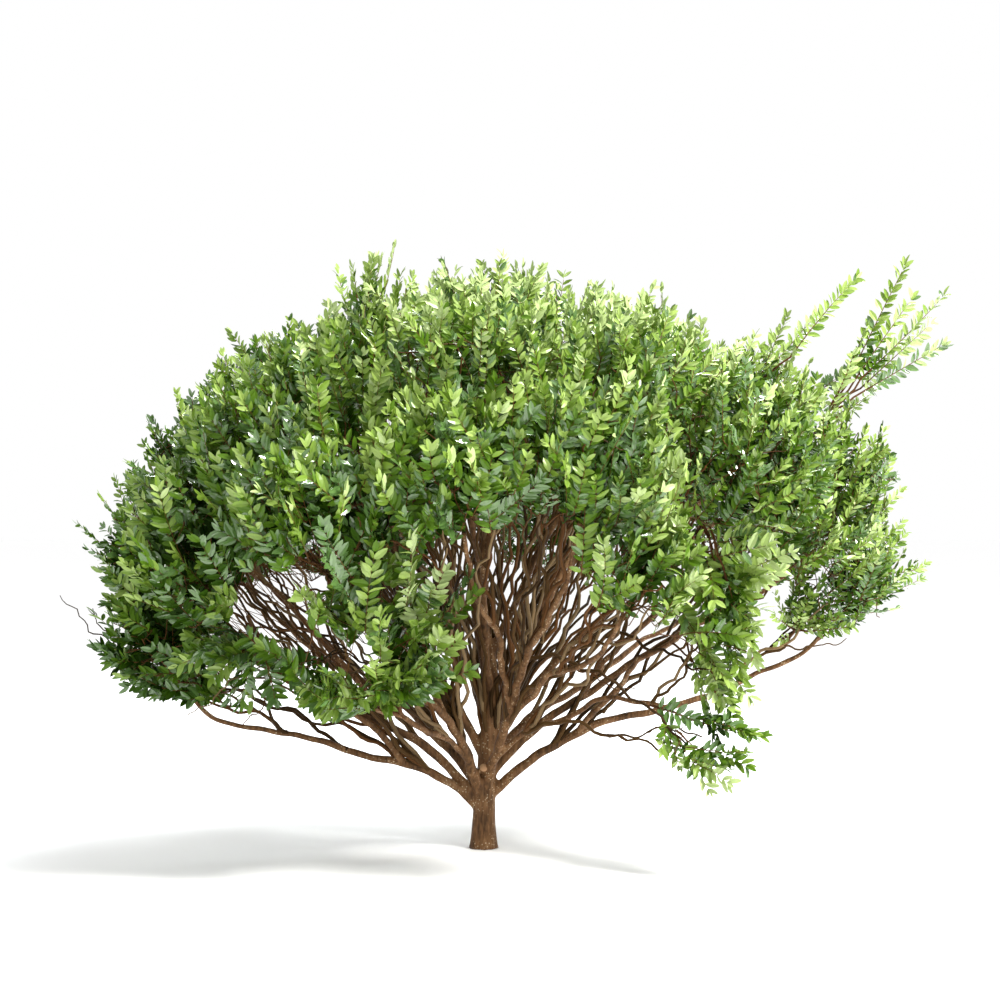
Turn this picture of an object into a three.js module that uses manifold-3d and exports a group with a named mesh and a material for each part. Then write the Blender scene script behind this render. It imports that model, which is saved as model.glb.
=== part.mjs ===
// A broad, green-leaved garden shrub that stands on one short trunk. Millimetres, +Z up, the origin in
// the middle of the flat cut at ground level, and -Y towards the viewer.
// A swaying leader runs up from the trunk into the top of the crown. Boughs leave it low down, fan out on
// all sides and fork, and each one ends where it enters the mass of foliage that it carries.
// A mass is one solid: a stem, twigs that branch from it by one rule, and leaves fused to the twigs. Each
// of its leaves is larger than life, and stands for a leafy spray.
import * as THREE from "three";
import { mergeVertices } from "three/addons/utils/BufferGeometryUtils.js";
import Module from "manifold-3d";

const wasm = await Module();
wasm.setup();

const degree = Math.PI / 180;
const goldenTurn = Math.PI * (3 - Math.sqrt(5));
const up = new THREE.Vector3(0, 0, 1);

// Pieces that meet keep this gap, and the spaces of two masses this one.
const seat = 0.3;
const spaceGap = 1;

const trunk = {
  height: 845, // up to the crown's top mass
  footRadius: 25,
  neckRadius: 20,
  tipRadius: 6,
  flareHeight: 40,
  swayAcross: 16,
  swayDeep: 12,
  straightFoot: 0.02, // share of the height that stands upright before the sway begins
  sides: 10,
  steps: 18,
};

const bough = {
  tipRadius: 3.6,
  pullAtStart: 1.1, // how far the curve keeps its first direction, as a share of the span
  pullAtEnd: 0.7,
  wave: 7, // sideways sway
  waves: 1.6,
  sides: 5,
  steps: 7,
  tipInSpace: 0.72, // where a bough ends, as a share of the way from its mass's middle to the edge
};

const foliage = {
  focusHeight: 330, // growth turns away from this point on the trunk's axis
  upwards: 0.45, // and upwards by this much
  twigs: 5, // in each mass, and one more in a wide one
  wide: 170,
  leavesPerTwig: 3,
  twigReach: 0.42, // twig tips, as a share of the mass's radii
  twigRadius: 3.4,
  twigTipRadius: 2.4,
  stemRadius: 4.4,
  forkBias: 0.35, // how much a long way back to the stem counts against a fork
  leafLength: 150,
  leafWidth: 76,
  leafThickness: 4.5,
  leafSizes: [1, 0.88, 0.76, 0.65, 0.54], // tried in turn where there is less room
  leafBelly: 0.45, // where a leaf is widest, as a share of its length
  leafSpread: 55, // degrees between a side leaf and its twig
  leafSink: 2.5,
  leafGap: 34.5, // between two leaves
  clearance: 1.5, // from every bough
  smoothing: 0.3, // slivers below this size are merged away
};

// One row for each mass and the bough that carries it. Where the mass is: its turn about the trunk's axis
// from +X in degrees, its reach from the axis and its height. How big it is: its radius across and its
// radius in height. Where its bough leaves: from the trunk at a height, or from another bough at a share of
// its length. Then the slopes at which it leaves and arrives, in degrees, and its radius where it leaves.
const rows = [
  { name: "left_low", turn: 188, reach: 556, height: 372, across: 150, tall: 112,
    from: "trunk", at: 58, leave: 54, arrive: 70, thick: 9 },
  { name: "left_flank", turn: 181, reach: 612, height: 540, across: 140, tall: 130,
    from: "trunk", at: 66, leave: 58, arrive: 64, thick: 10 },
  { name: "front_left", turn: 242, reach: 530, height: 580, across: 165, tall: 135,
    from: "trunk", at: 78, leave: 62, arrive: 60, thick: 10.5 },
  { name: "right_low", turn: -1, reach: 648, height: 478, across: 150, tall: 112,
    from: "trunk", at: 82, leave: 52, arrive: 66, thick: 9.5 },
  { name: "back_left", turn: 150, reach: 585, height: 565, across: 190, tall: 150,
    from: "trunk", at: 88, leave: 56, arrive: 60, thick: 9.5 },
  { name: "front_right", turn: 289, reach: 519, height: 680, across: 150, tall: 130,
    from: "trunk", at: 92, leave: 62, arrive: 66, thick: 10 },
  { name: "back_centre_right", turn: 75, reach: 592, height: 575, across: 195, tall: 150,
    from: "trunk", at: 102, leave: 58, arrive: 60, thick: 9.5 },
  { name: "right_flank", turn: 3, reach: 651, height: 662, across: 145, tall: 130,
    from: "trunk", at: 118, leave: 54, arrive: 66, thick: 9 },
  { name: "back_right", turn: 37, reach: 605, height: 570, across: 190, tall: 150,
    from: "trunk", at: 134, leave: 52, arrive: 62, thick: 8.5 },
  { name: "left_shoulder", turn: 171, reach: 385, height: 815, across: 160, tall: 130,
    from: "trunk", at: 150, leave: 64, arrive: 76, thick: 9 },
  { name: "right_shoulder", turn: -2, reach: 460, height: 800, across: 150, tall: 125,
    from: "trunk", at: 172, leave: 58, arrive: 74, thick: 9 },
  { name: "back_upper_left", turn: 124, reach: 408, height: 790, across: 190, tall: 140,
    from: "trunk", at: 210, leave: 64, arrive: 72, thick: 8.5 },
  { name: "front_upper", turn: 264, reach: 300, height: 835, across: 165, tall: 130,
    from: "trunk", at: 262, leave: 66, arrive: 76, thick: 8 },
  { name: "crown_right", turn: 5, reach: 240, height: 890, across: 150, tall: 130,
    from: "trunk", at: 330, leave: 68, arrive: 78, thick: 7.5 },
  { name: "crown_top", turn: 74, reach: 73, height: 940, across: 165, tall: 125,
    from: "leader's tip" },
  { name: "left_upper", turn: 177, reach: 540, height: 692, across: 145, tall: 130,
    from: "left_flank", at: 0.34, leave: 64, arrive: 68, thick: 6.5 },
  { name: "left_front", turn: 214, reach: 519, height: 520, across: 165, tall: 135,
    from: "left_low", at: 0.3, leave: 52, arrive: 62, thick: 6.5 },
  { name: "front_left_low", turn: 241, reach: 445, height: 383, across: 175, tall: 110,
    from: "front_left", at: 0.16, leave: 40, arrive: 54, thick: 6.5 },
  { name: "spire_left", turn: 191, reach: 204, height: 930, across: 120, tall: 155,
    from: "left_shoulder", at: 0.42, leave: 78, arrive: 78, thick: 6.5 },
  { name: "left_front_upper", turn: 221, reach: 408, height: 740, across: 170, tall: 135,
    from: "front_left", at: 0.38, leave: 72, arrive: 70, thick: 6.5 },
  { name: "front", turn: 266, reach: 522, height: 660, across: 150, tall: 130,
    from: "front_right", at: 0.3, leave: 60, arrive: 66, thick: 6.5 },
  { name: "front_right_low", turn: 295, reach: 566, height: 505, across: 115, tall: 105,
    from: "front_right", at: 0.24, leave: 44, arrive: 58, thick: 6 },
  { name: "front_upper_right", turn: 311, reach: 383, height: 800, across: 165, tall: 130,
    from: "front_right", at: 0.44, leave: 70, arrive: 72, thick: 6 },
  { name: "hanging", turn: -39, reach: 519, height: 452, across: 115, tall: 150,
    from: "right_low", at: 0.3, leave: 46, arrive: 24, thick: 6, hangs: true },
  { name: "right_front", turn: -31, reach: 516, height: 648, across: 160, tall: 140,
    from: "right_flank", at: 0.3, leave: 58, arrive: 66, thick: 6.5 },
  { name: "drooping_tip", turn: -42, reach: 494, height: 238, across: 112, tall: 86,
    from: "front_right", at: 0.12, leave: 40, arrive: -28, thick: 6, hangs: true },
  { name: "right_spray", turn: 3, reach: 694, height: 880, across: 150, tall: 170,
    from: "right_shoulder", at: 0.5, leave: 44, arrive: 56, thick: 6 },
  { name: "back_upper_right", turn: 57, reach: 425, height: 790, across: 190, tall: 140,
    from: "back_centre_right", at: 0.4, leave: 72, arrive: 72, thick: 6.5 },
  { name: "back_centre_left", turn: 113, reach: 588, height: 568, across: 195, tall: 150,
    from: "back_left", at: 0.24, leave: 52, arrive: 60, thick: 6.5 },
];

const barkFinish = new THREE.MeshStandardMaterial({ color: 0x5f4330, roughness: 0.85, metalness: 0 });
const leafFinish = new THREE.MeshStandardMaterial({ color: 0x5d8a38, roughness: 0.5, metalness: 0 });

// Seeded numbers from 0 to 1, the same ones each time.
function seeded(seed) {
  let state = seed >>> 0;
  return () => {
    state = (state + 0x6d2b79f5) >>> 0;
    let mixed = Math.imul(state ^ (state >>> 15), 1 | state);
    mixed = (mixed + Math.imul(mixed ^ (mixed >>> 7), 61 | mixed)) ^ mixed;
    return ((mixed ^ (mixed >>> 14)) >>> 0) / 4294967296;
  };
}

function direction(turn, slope) {
  const level = Math.cos(slope * degree);
  return new THREE.Vector3(level * Math.cos(turn), level * Math.sin(turn), Math.sin(slope * degree));
}

// The leader: it stands upright, and sways in ever shorter and weaker waves on its way up.
class LeaderCurve extends THREE.Curve {
  getPoint(share, target = new THREE.Vector3()) {
    const run = Math.max(0, share - trunk.straightFoot) ** 2;
    const fade = 1 - 0.6 * share;
    const x = trunk.swayAcross * fade * Math.sin(5.6 * Math.PI * run);
    const y = trunk.swayDeep * fade * Math.sin(4.4 * Math.PI * run);
    return target.set(x, y, trunk.height * share);
  }
}

// A bough: a cubic that leaves and arrives in set directions, with a sway that fades out at both ends.
class BoughCurve extends THREE.Curve {
  constructor(start, startPull, end, endPull, phase) {
    super();
    Object.assign(this, { start, startPull, end, endPull, phase });
    this.side = new THREE.Vector3().crossVectors(up, end.clone().sub(start)).normalize();
  }
  getPoint(share, target = new THREE.Vector3()) {
    const s2 = share * share;
    const s3 = s2 * share;
    target.set(0, 0, 0);
    target.addScaledVector(this.start, 2 * s3 - 3 * s2 + 1);
    target.addScaledVector(this.startPull, s3 - 2 * s2 + share);
    target.addScaledVector(this.end, 3 * s2 - 2 * s3);
    target.addScaledVector(this.endPull, s3 - s2);
    const fade = bough.wave * Math.sin(Math.PI * share);
    const angle = 2 * Math.PI * bough.waves * share + this.phase;
    target.addScaledVector(this.side, fade * Math.sin(angle));
    return target.addScaledVector(up, fade * Math.sin(1.3 * angle + this.phase));
  }
}

function centreOf(row) {
  const level = direction(row.turn * degree, 0).multiplyScalar(row.reach);
  return level.setZ(row.height);
}

// How far a mass's space reaches from its middle in a direction.
function reachOf(row, way) {
  return 1 / Math.hypot(Math.hypot(way.x, way.y) / row.across, way.z / row.tall);
}

// A tapering limb: a cylinder whose rings are set along a curve.
function limbGeometry(curve, radiusAt, sides, steps) {
  const geometry = new THREE.CylinderGeometry(1, 1, 1, sides, steps);
  const frames = curve.computeFrenetFrames(steps, false);
  const place = geometry.getAttribute("position");
  const point = new THREE.Vector3();
  for (let i = 0; i < place.count; i++) {
    const ring = Math.round((place.getY(i) + 0.5) * steps);
    const radius = radiusAt(ring / steps);
    point.copy(curve.getPointAt(ring / steps));
    point.addScaledVector(frames.normals[ring], place.getX(i) * radius);
    point.addScaledVector(frames.binormals[ring], -place.getZ(i) * radius);
    place.setXYZ(i, point.x, point.y, point.z);
  }
  return geometry;
}

// A geometry as a solid for joining and cutting.
function solidOf(geometry) {
  const bare = geometry.clone();
  bare.deleteAttribute("normal");
  bare.deleteAttribute("uv");
  const merged = mergeVertices(bare, 1e-4);
  const vertProperties = merged.getAttribute("position").array;
  const triVerts = new Uint32Array(merged.index.array);
  return new wasm.Manifold(new wasm.Mesh({ numProp: 3, vertProperties, triVerts }));
}

// The largest piece of a solid, without scraps and sealed hollows.
function mainPiece(solid) {
  const pieces = solid.decompose();
  return pieces.reduce((best, piece) => (piece.volume() > best.volume() ? piece : best));
}

function meshOf(name, solid, material) {
  const cut = solid.getMesh();
  const geometry = new THREE.BufferGeometry();
  geometry.setAttribute("position", new THREE.BufferAttribute(cut.vertProperties, 3));
  geometry.setIndex(new THREE.BufferAttribute(cut.triVerts, 1));
  geometry.computeVertexNormals();
  const mesh = new THREE.Mesh(geometry, material);
  mesh.name = name;
  return mesh;
}

function trunkRadius(share) {
  const taper = trunk.tipRadius + (trunk.neckRadius - trunk.tipRadius) * (1 - share) ** 0.8;
  const fade = Math.exp((-share * trunk.height) / trunk.flareHeight);
  return taper + (trunk.footRadius - trunk.neckRadius) * fade;
}

const leader = {
  curve: new LeaderCurve(),
  radiusAt: trunkRadius,
  sides: trunk.sides,
  steps: trunk.steps,
};

// Where a limb's centreline is, and how thick it is there, for keeping leaves clear of it.
function samplesOf(limb) {
  const count = 60;
  return Array.from({ length: count + 1 }, (_, i) => ({
    point: limb.curve.getPointAt(i / count),
    radius: limb.radiusAt(i / count),
  }));
}

function boughFor(row, index, limbs) {
  const parent = limbs.get(row.from);
  const share = row.from === "trunk" ? row.at / trunk.height : row.at;
  const start = parent.curve.getPointAt(share);
  const centre = centreOf(row);
  const turn = Math.atan2(centre.y - start.y, centre.x - start.x);
  const arriving = direction(turn, row.arrive);
  const end = centre.addScaledVector(arriving, -reachOf(row, arriving) * bough.tipInSpace);
  const span = end.distanceTo(start);
  const curve = new BoughCurve(
    start,
    direction(turn, row.leave).multiplyScalar(span * bough.pullAtStart),
    end,
    arriving.clone().multiplyScalar(span * bough.pullAtEnd),
    index * goldenTurn,
  );
  const radiusAt = (along) => bough.tipRadius + (row.thick - bough.tipRadius) * (1 - along) ** 0.8;
  return { curve, radiusAt, sides: bough.sides, steps: bough.steps };
}

function grown(limb, extra) {
  return solidOf(limbGeometry(limb.curve, (along) => limb.radiusAt(along) + extra, limb.sides, limb.steps));
}

// Growth turns away from the focus and upwards, and on a hanging mass downwards.
function growthAt(point, row) {
  const outwards = point.clone().setZ(point.z - foliage.focusHeight).normalize();
  return outwards.addScaledVector(up, row.hangs ? -foliage.upwards : foliage.upwards).normalize();
}

// True where a point lies in a mass's own space: inside its rounded reach, and nearer to its middle than to
// the middle of any other.
function spaceOf(row) {
  const centre = centreOf(row);
  const walls = rows.filter((other) => other !== row).map((other) => {
    const away = centreOf(other).sub(centre);
    const half = away.length() / 2 - spaceGap / 2;
    return { away: away.normalize(), half };
  });
  return (point) => {
    const from = point.clone().sub(centre);
    const rounded = Math.hypot(from.x / row.across, from.y / row.across, from.z / row.tall) <= 1;
    return rounded && walls.every((wall) => from.dot(wall.away) < wall.half);
  };
}

// A three-sided twig or stem along a curve.
function twigGeometry(curve, thickFrom, thickTo, steps) {
  return limbGeometry(curve, (share) => thickFrom + (thickTo - thickFrom) * share, 3, steps);
}

// A leaf of eight faces: an octahedron drawn out along the leaf, and widest before its middle.
function leafGeometry(leaf) {
  const across = new THREE.Vector3().crossVectors(leaf.facing, leaf.along).normalize();
  const face = new THREE.Vector3().crossVectors(leaf.along, across);
  const geometry = new THREE.OctahedronGeometry(1);
  const place = geometry.getAttribute("position");
  const runs = [-foliage.leafSink, foliage.leafBelly * leaf.length, leaf.length];
  const point = new THREE.Vector3();
  for (let i = 0; i < place.count; i++) {
    const run = runs[Math.round(place.getX(i)) + 1];
    point.copy(leaf.base).addScaledVector(leaf.along, run);
    point.addScaledVector(across, (Math.round(place.getY(i)) * foliage.leafWidth) / 2);
    point.addScaledVector(face, (Math.round(place.getZ(i)) * foliage.leafThickness) / 2);
    place.setXYZ(i, point.x, point.y, point.z);
  }
  return geometry;
}

function cornersOf(geometry) {
  const place = geometry.getAttribute("position");
  return Array.from({ length: place.count }, (_, i) => new THREE.Vector3().fromBufferAttribute(place, i));
}

// True where nothing of a stretch, which is halfWidth wide, comes near a bough.
function clearOf(obstacles, from, to, halfWidth) {
  const line = new THREE.Line3(from, to);
  const nearest = new THREE.Vector3();
  return obstacles.every(({ point, radius }) => {
    line.closestPointToPoint(point, true, nearest);
    return nearest.distanceTo(point) > radius + halfWidth + foliage.clearance;
  });
}

// Twig tips, evenly dealt round the outer side of a mass.
function tipsOf(row, phase) {
  const centre = centreOf(row);
  const outwards = growthAt(centre, row);
  const wanted = row.across < foliage.wide ? foliage.twigs : foliage.twigs + 1;
  const around = wanted * 2;
  const tips = [];
  for (let k = 0; k < around && tips.length < wanted; k++) {
    const order = (k * 7) % around;
    const height = 1 - (2 * order + 1) / around;
    const level = Math.sqrt(1 - height * height);
    const turn = order * goldenTurn + phase;
    const way = new THREE.Vector3(level * Math.cos(turn), level * Math.sin(turn), height);
    if (way.dot(outwards) > -0.25) {
      tips.push(centre.clone().addScaledVector(way, reachOf(row, way) * foliage.twigReach));
    }
  }
  return tips;
}

// Each tip forks from the point of the twigs so far that costs it least: near, and not far along from the
// stem's foot.
function growTwigs(stem, tips, row) {
  const [start, bend, centre] = stem;
  const toBend = start.distanceTo(bend);
  const knots = [{ point: bend, run: toBend }, { point: centre, run: toBend + bend.distanceTo(centre) }];
  const nearFirst = tips.sort((a, b) => a.distanceTo(start) - b.distanceTo(start));
  return nearFirst.map((tip) => {
    const cost = (knot) => knot.point.distanceTo(tip) + foliage.forkBias * knot.run;
    const fork = knots.reduce((best, knot) => (cost(knot) < cost(best) ? knot : best));
    const twig = new THREE.LineCurve3(fork.point, tip);
    const length = twig.getLength();
    knots.push({ point: twig.getPoint(0.5), run: fork.run + length / 2 });
    knots.push({ point: tip, run: fork.run + length });
    return twig;
  });
}

// The leaves that a twig would bear: one at its tip, and the rest in turn to either side.
function leavesOf(twig, row, next) {
  const way = twig.getTangent(1);
  const growth = growthAt(twig.v2, row);
  const side = new THREE.Vector3().crossVectors(growth, way).normalize();
  return Array.from({ length: foliage.leavesPerTwig }, (_, k) => {
    const hand = k % 2 ? 1 : -1;
    const lean = k === 0 ? 0 : hand * foliage.leafSpread * degree;
    const along = way.clone().multiplyScalar(Math.cos(lean)).addScaledVector(side, Math.sin(lean));
    along.addScaledVector(growth, 0.3 + 0.3 * next()).normalize();
    const facing = growth.clone().addScaledVector(side, next() - 0.5).addScaledVector(up, 0.3);
    const base = twig.getPoint(k === 0 ? 0.97 : 0.9 - 0.28 * (k - 1));
    return { base, along, facing, length: foliage.leafLength * (0.85 + 0.3 * next()) };
  });
}

// Points along a leaf's outer part.
function spotsOf(leaf) {
  const shares = [0.35, 0.65, 0.95];
  return shares.map((share) => leaf.base.clone().addScaledVector(leaf.along, share * leaf.length));
}

// The leaf at the first of its sizes that fits, or nothing.
function fitted(leaf, fits) {
  const sized = foliage.leafSizes.map((share) => ({ ...leaf, length: leaf.length * share }));
  return sized.find(fits);
}

// A mass as one solid. It keeps to its own space and off the boughs, and leaves out what would not.
function massFor(row, index, limb, obstacles) {
  const { leafGap } = foliage;
  const inSpace = spaceOf(row);
  const inside = (geometry) => cornersOf(geometry).every(inSpace);
  const next = seeded(index + 11);
  const arriving = limb.curve.getTangentAt(1);
  const start = limb.curve.getPointAt(1).addScaledVector(arriving, seat);
  const centre = centreOf(row);
  const bend = start.clone().addScaledVector(arriving, 0.45 * start.distanceTo(centre));
  const stem = [start, bend, centre];
  const stemCurve = new THREE.QuadraticBezierCurve3(...stem);
  const shapes = [twigGeometry(stemCurve, foliage.stemRadius, foliage.twigRadius, 2)];
  const spots = [];
  for (const twig of growTwigs(stem, tipsOf(row, index), row)) {
    const shape = twigGeometry(twig, foliage.twigRadius, foliage.twigTipRadius, 1);
    if (!inside(shape) || !clearOf(obstacles, twig.v1, twig.v2, foliage.twigRadius)) continue;
    shapes.push(shape);
    for (const wanted of leavesOf(twig, row, next)) {
      const leaf = fitted(wanted, (tried) => {
        const own = spotsOf(tried);
        const free = clearOf(obstacles, own[0], own[2], foliage.leafWidth / 2);
        const apart = own.every((spot) => spots.every((other) => other.distanceTo(spot) > leafGap));
        return free && apart && inside(leafGeometry(tried));
      });
      if (!leaf) continue;
      shapes.push(leafGeometry(leaf));
      spots.push(...spotsOf(leaf));
    }
  }
  return mainPiece(wasm.Manifold.union(shapes.map(solidOf)).simplify(foliage.smoothing));
}

const limbs = new Map([["trunk", leader]]);
rows.forEach((row, index) => {
  if (row.from !== "leader's tip") limbs.set(row.name, boughFor(row, index, limbs));
});

const shrub = new THREE.Group();
shrub.add(meshOf("trunk", grown(leader, 0), barkFinish));

// Each bough is cut back to the limbs that were there before it, so that it is seated on them.
const standing = [grown(leader, seat)];
for (const [name, limb] of limbs) {
  if (name === "trunk") continue;
  const seated = mainPiece(standing.reduce((left, other) => left.subtract(other), grown(limb, 0)));
  shrub.add(meshOf("bough_" + name, seated, barkFinish));
  standing.push(grown(limb, seat));
}

const obstacles = [...limbs.values()].flatMap(samplesOf);
rows.forEach((row, index) => {
  const limb = limbs.get(row.name) ?? leader;
  const own = samplesOf(limb).slice(-4).map(({ point }) => point);
  const others = obstacles.filter(({ point }) => !own.some((mine) => mine.distanceTo(point) < 1));
  shrub.add(meshOf("foliage_" + row.name, massFor(row, index, limb, others), leafFinish));
});

export default shrub;
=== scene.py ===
# A broad, domed, green-leaved garden shrub on one short trunk: swaying boughs fan out low down and fork into
# finer branches and twigs, and leafy sprigs clothe the crown. Sizes are worked out in millimetres, with the
# same rows and the same growth rule as the part's source, and meshObject turns them into metres.
import math

import bpy
import numpy as np
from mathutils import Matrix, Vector


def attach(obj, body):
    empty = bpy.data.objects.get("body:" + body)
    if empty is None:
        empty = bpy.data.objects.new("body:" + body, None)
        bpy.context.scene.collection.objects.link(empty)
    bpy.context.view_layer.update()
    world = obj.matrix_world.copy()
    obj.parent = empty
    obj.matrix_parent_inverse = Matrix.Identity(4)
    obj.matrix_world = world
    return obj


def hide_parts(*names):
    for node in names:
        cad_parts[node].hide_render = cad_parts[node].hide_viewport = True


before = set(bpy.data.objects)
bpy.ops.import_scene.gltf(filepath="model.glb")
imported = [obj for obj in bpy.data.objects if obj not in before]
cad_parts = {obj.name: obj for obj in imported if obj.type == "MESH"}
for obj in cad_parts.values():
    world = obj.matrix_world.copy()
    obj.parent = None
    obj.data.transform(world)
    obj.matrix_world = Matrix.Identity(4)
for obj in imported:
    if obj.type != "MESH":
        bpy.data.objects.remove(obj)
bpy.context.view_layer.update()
print("frame loaded:", len(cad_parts), "nodes")

upward = np.array([0.0, 0.0, 1.0])
goldenTurn = math.pi * (3 - math.sqrt(5))
goldenShare = 0.618

# the leader, the boughs and the spaces of the masses, as in the source
leader = {
    "height": 845.0, "footRadius": 25, "neckRadius": 20, "tipRadius": 6, "flareHeight": 40, "taper": 0.8,
    "swayAcross": 16, "swayDeep": 12, "turnsAcross": 5.6, "turnsDeep": 4.4, "swayFade": 0.6,
    "straightFoot": 0.02,
}
bough = {
    "tipRadius": 3.6, "taper": 0.8, "pullAtStart": 1.1, "pullAtEnd": 0.7,
    "wave": 7, "waves": 1.6, "riseFaster": 1.3, "tipInSpace": 0.72,
}

# mass: turn, reach, height, across, tall, then its bough: from, at, leave, arrive, thick;
# then its part of the crown
rows = {
    "left_low": (188, 556, 372, 150, 112, "trunk", 58, 54, 70, 9, "left"),
    "left_flank": (181, 612, 540, 140, 130, "trunk", 66, 58, 64, 10, "left"),
    "front_left": (242, 530, 580, 165, 135, "trunk", 78, 62, 60, 10.5, "front"),
    "right_low": (-1, 648, 478, 150, 112, "trunk", 82, 52, 66, 9.5, "right"),
    "back_left": (150, 585, 565, 190, 150, "trunk", 88, 56, 60, 9.5, "back"),
    "front_right": (289, 519, 680, 150, 130, "trunk", 92, 62, 66, 10, "front"),
    "back_centre_right": (75, 592, 575, 195, 150, "trunk", 102, 58, 60, 9.5, "back"),
    "right_flank": (3, 651, 662, 145, 130, "trunk", 118, 54, 66, 9, "right"),
    "back_right": (37, 605, 570, 190, 150, "trunk", 134, 52, 62, 8.5, "back"),
    "left_shoulder": (171, 385, 815, 160, 130, "trunk", 150, 64, 76, 9, "left"),
    "right_shoulder": (-2, 460, 800, 150, 125, "trunk", 172, 58, 74, 9, "right"),
    "back_upper_left": (124, 408, 790, 190, 140, "trunk", 210, 64, 72, 8.5, "back"),
    "front_upper": (264, 300, 835, 165, 130, "trunk", 262, 66, 76, 8, "front"),
    "crown_right": (5, 240, 890, 150, 130, "trunk", 330, 68, 78, 7.5, "crown"),
    "crown_top": (74, 73, 940, 165, 125, "leader's tip", 1, 0, 0, 0, "crown"),
    "left_upper": (177, 540, 692, 145, 130, "left_flank", 0.34, 64, 68, 6.5, "left"),
    "left_front": (214, 519, 520, 165, 135, "left_low", 0.3, 52, 62, 6.5, "left"),
    "front_left_low": (241, 445, 383, 175, 110, "front_left", 0.16, 40, 54, 6.5, "front"),
    "spire_left": (191, 204, 930, 120, 155, "left_shoulder", 0.42, 78, 78, 6.5, "crown"),
    "left_front_upper": (221, 408, 740, 170, 135, "front_left", 0.38, 72, 70, 6.5, "left"),
    "front": (266, 522, 660, 150, 130, "front_right", 0.3, 60, 66, 6.5, "front"),
    "front_right_low": (295, 566, 505, 115, 105, "front_right", 0.24, 44, 58, 6, "front"),
    "front_upper_right": (311, 383, 800, 165, 130, "front_right", 0.44, 70, 72, 6, "front"),
    "hanging": (-39, 519, 452, 115, 150, "right_low", 0.3, 46, 24, 6, "right"),
    "right_front": (-31, 516, 648, 160, 140, "right_flank", 0.3, 58, 66, 6.5, "right"),
    "drooping_tip": (-42, 494, 238, 112, 86, "front_right", 0.12, 40, -28, 6, "right"),
    "right_spray": (3, 694, 880, 150, 170, "right_shoulder", 0.5, 44, 56, 6, "right"),
    "back_upper_right": (57, 425, 790, 190, 140, "back_centre_right", 0.4, 72, 72, 6.5, "back"),
    "back_centre_left": (113, 588, 568, 195, 150, "back_left", 0.24, 52, 60, 6.5, "back"),
}
hangingMasses = ("hanging", "drooping_tip")
# mass: how full of twigs, how far leaves reach across and up, as shares of its space, how many tints of
# painted light its leaves get, with painted shade below 0, how long they are, as a share, and how steeply
# its sprigs rise
usual = (1.0, 1.0, 1.0, 0.0, 1.0, 1.15)
habits = {
    "left_low": (1.3, 0.88, 1.02, -0.4, 1.15, 0.35),
    "left_flank": (0.85, 0.68, 0.84, -0.35, 0.85, 1.0),
    "left_front": (0.95, 1.0, 1.05, -0.35, 1.2, 0.75),
    "left_upper": (0.8, 0.6, 0.76, -0.4, 0.85, 1.15),
    "left_shoulder": (0.9, 0.8, 0.8, 0.0, 0.9, 1.15),
    "left_front_upper": (1.0, 1.0, 0.92, -0.15, 1.05, 1.15),
    "front_left": (1.0, 1.0, 1.0, -0.1, 1.2, 1.0),
    "front_left_low": (0.75, 0.95, 0.9, 0.5, 1.3, 0.5),
    "front": (1.0, 0.95, 0.95, -0.1, 1.15, 1.15),
    "front_right_low": (0.8, 0.96, 0.92, 0.35, 1.1, 0.8),
    "front_right": (1.1, 0.95, 0.95, -0.15, 1.0, 1.1),
    "front_upper": (1.15, 1.0, 0.97, 0.6, 0.95, 1.15),
    "front_upper_right": (0.9, 1.0, 0.9, 0.15, 0.92, 1.15),
    "right_front": (1.15, 0.95, 0.97, -0.25, 0.9, 1.0),
    "right_flank": (0.75, 0.74, 0.95, 0.2, 0.8, 1.15),
    "right_low": (0.75, 0.85, 0.88, 0.3, 0.82, 0.9),
    "right_shoulder": (0.85, 0.95, 0.74, 0.6, 0.92, 1.15),
    "right_spray": (0.0, 0.3, 0.3, 0.5, 1.05, 1.15),
    "hanging": (0.55, 0.5, 0.95, 1.2, 1.3, 0.5),
    "drooping_tip": (0.05, 0.95, 0.9, 0.6, 1.15, -0.1),
    "spire_left": (0.5, 0.54, 0.72, 1.3, 1.0, 1.5),
    "crown_top": (1.1, 1.0, 0.85, 1.7, 0.95, 1.3),
    "crown_right": (0.9, 0.82, 0.84, 1.65, 0.92, 1.3),
}


def lengths(vectors):
    # the length of each vector of an array
    return np.linalg.norm(vectors, axis=-1)


def unit(vectors):
    # each vector over its own length
    return vectors / np.maximum(np.linalg.norm(vectors, axis=-1, keepdims=True), 1e-9)


def direction(turn, slope):
    # (cos s cos t, cos s sin t, sin s) for a turn about +Z and a slope above the level
    level = math.cos(math.radians(slope))
    return np.array([level * math.cos(turn), level * math.sin(turn), math.sin(math.radians(slope))])


def placeOf(turn, reach, height):
    # reach away from the trunk's axis at a turn in degrees, and height above the ground
    return direction(math.radians(turn), 0) * reach + upward * height


def tapered(thick, tip, share, power):
    # tip + (thick - tip)(1 - s)^power
    return tip + (thick - tip) * (1 - share) ** power


def leaderPath(share):
    # height * share upwards, with sways A(1 - fade s) sin(k pi s'^2), s' = share past the straight foot
    share = np.asarray(share, float)
    run = np.maximum(0, share - leader["straightFoot"]) ** 2
    fade = 1 - leader["swayFade"] * share
    x = leader["swayAcross"] * fade * np.sin(leader["turnsAcross"] * math.pi * run)
    y = leader["swayDeep"] * fade * np.sin(leader["turnsDeep"] * math.pi * run)
    return np.stack([x, y, leader["height"] * share], axis=-1)


def leaderRadius(share):
    # the taper, plus a flare of (foot - neck) exp(-height s / flareHeight)
    taper = tapered(leader["neckRadius"], leader["tipRadius"], share, leader["taper"])
    flare = np.exp(-share * leader["height"] / leader["flareHeight"])
    return taper + (leader["footRadius"] - leader["neckRadius"]) * flare


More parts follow.
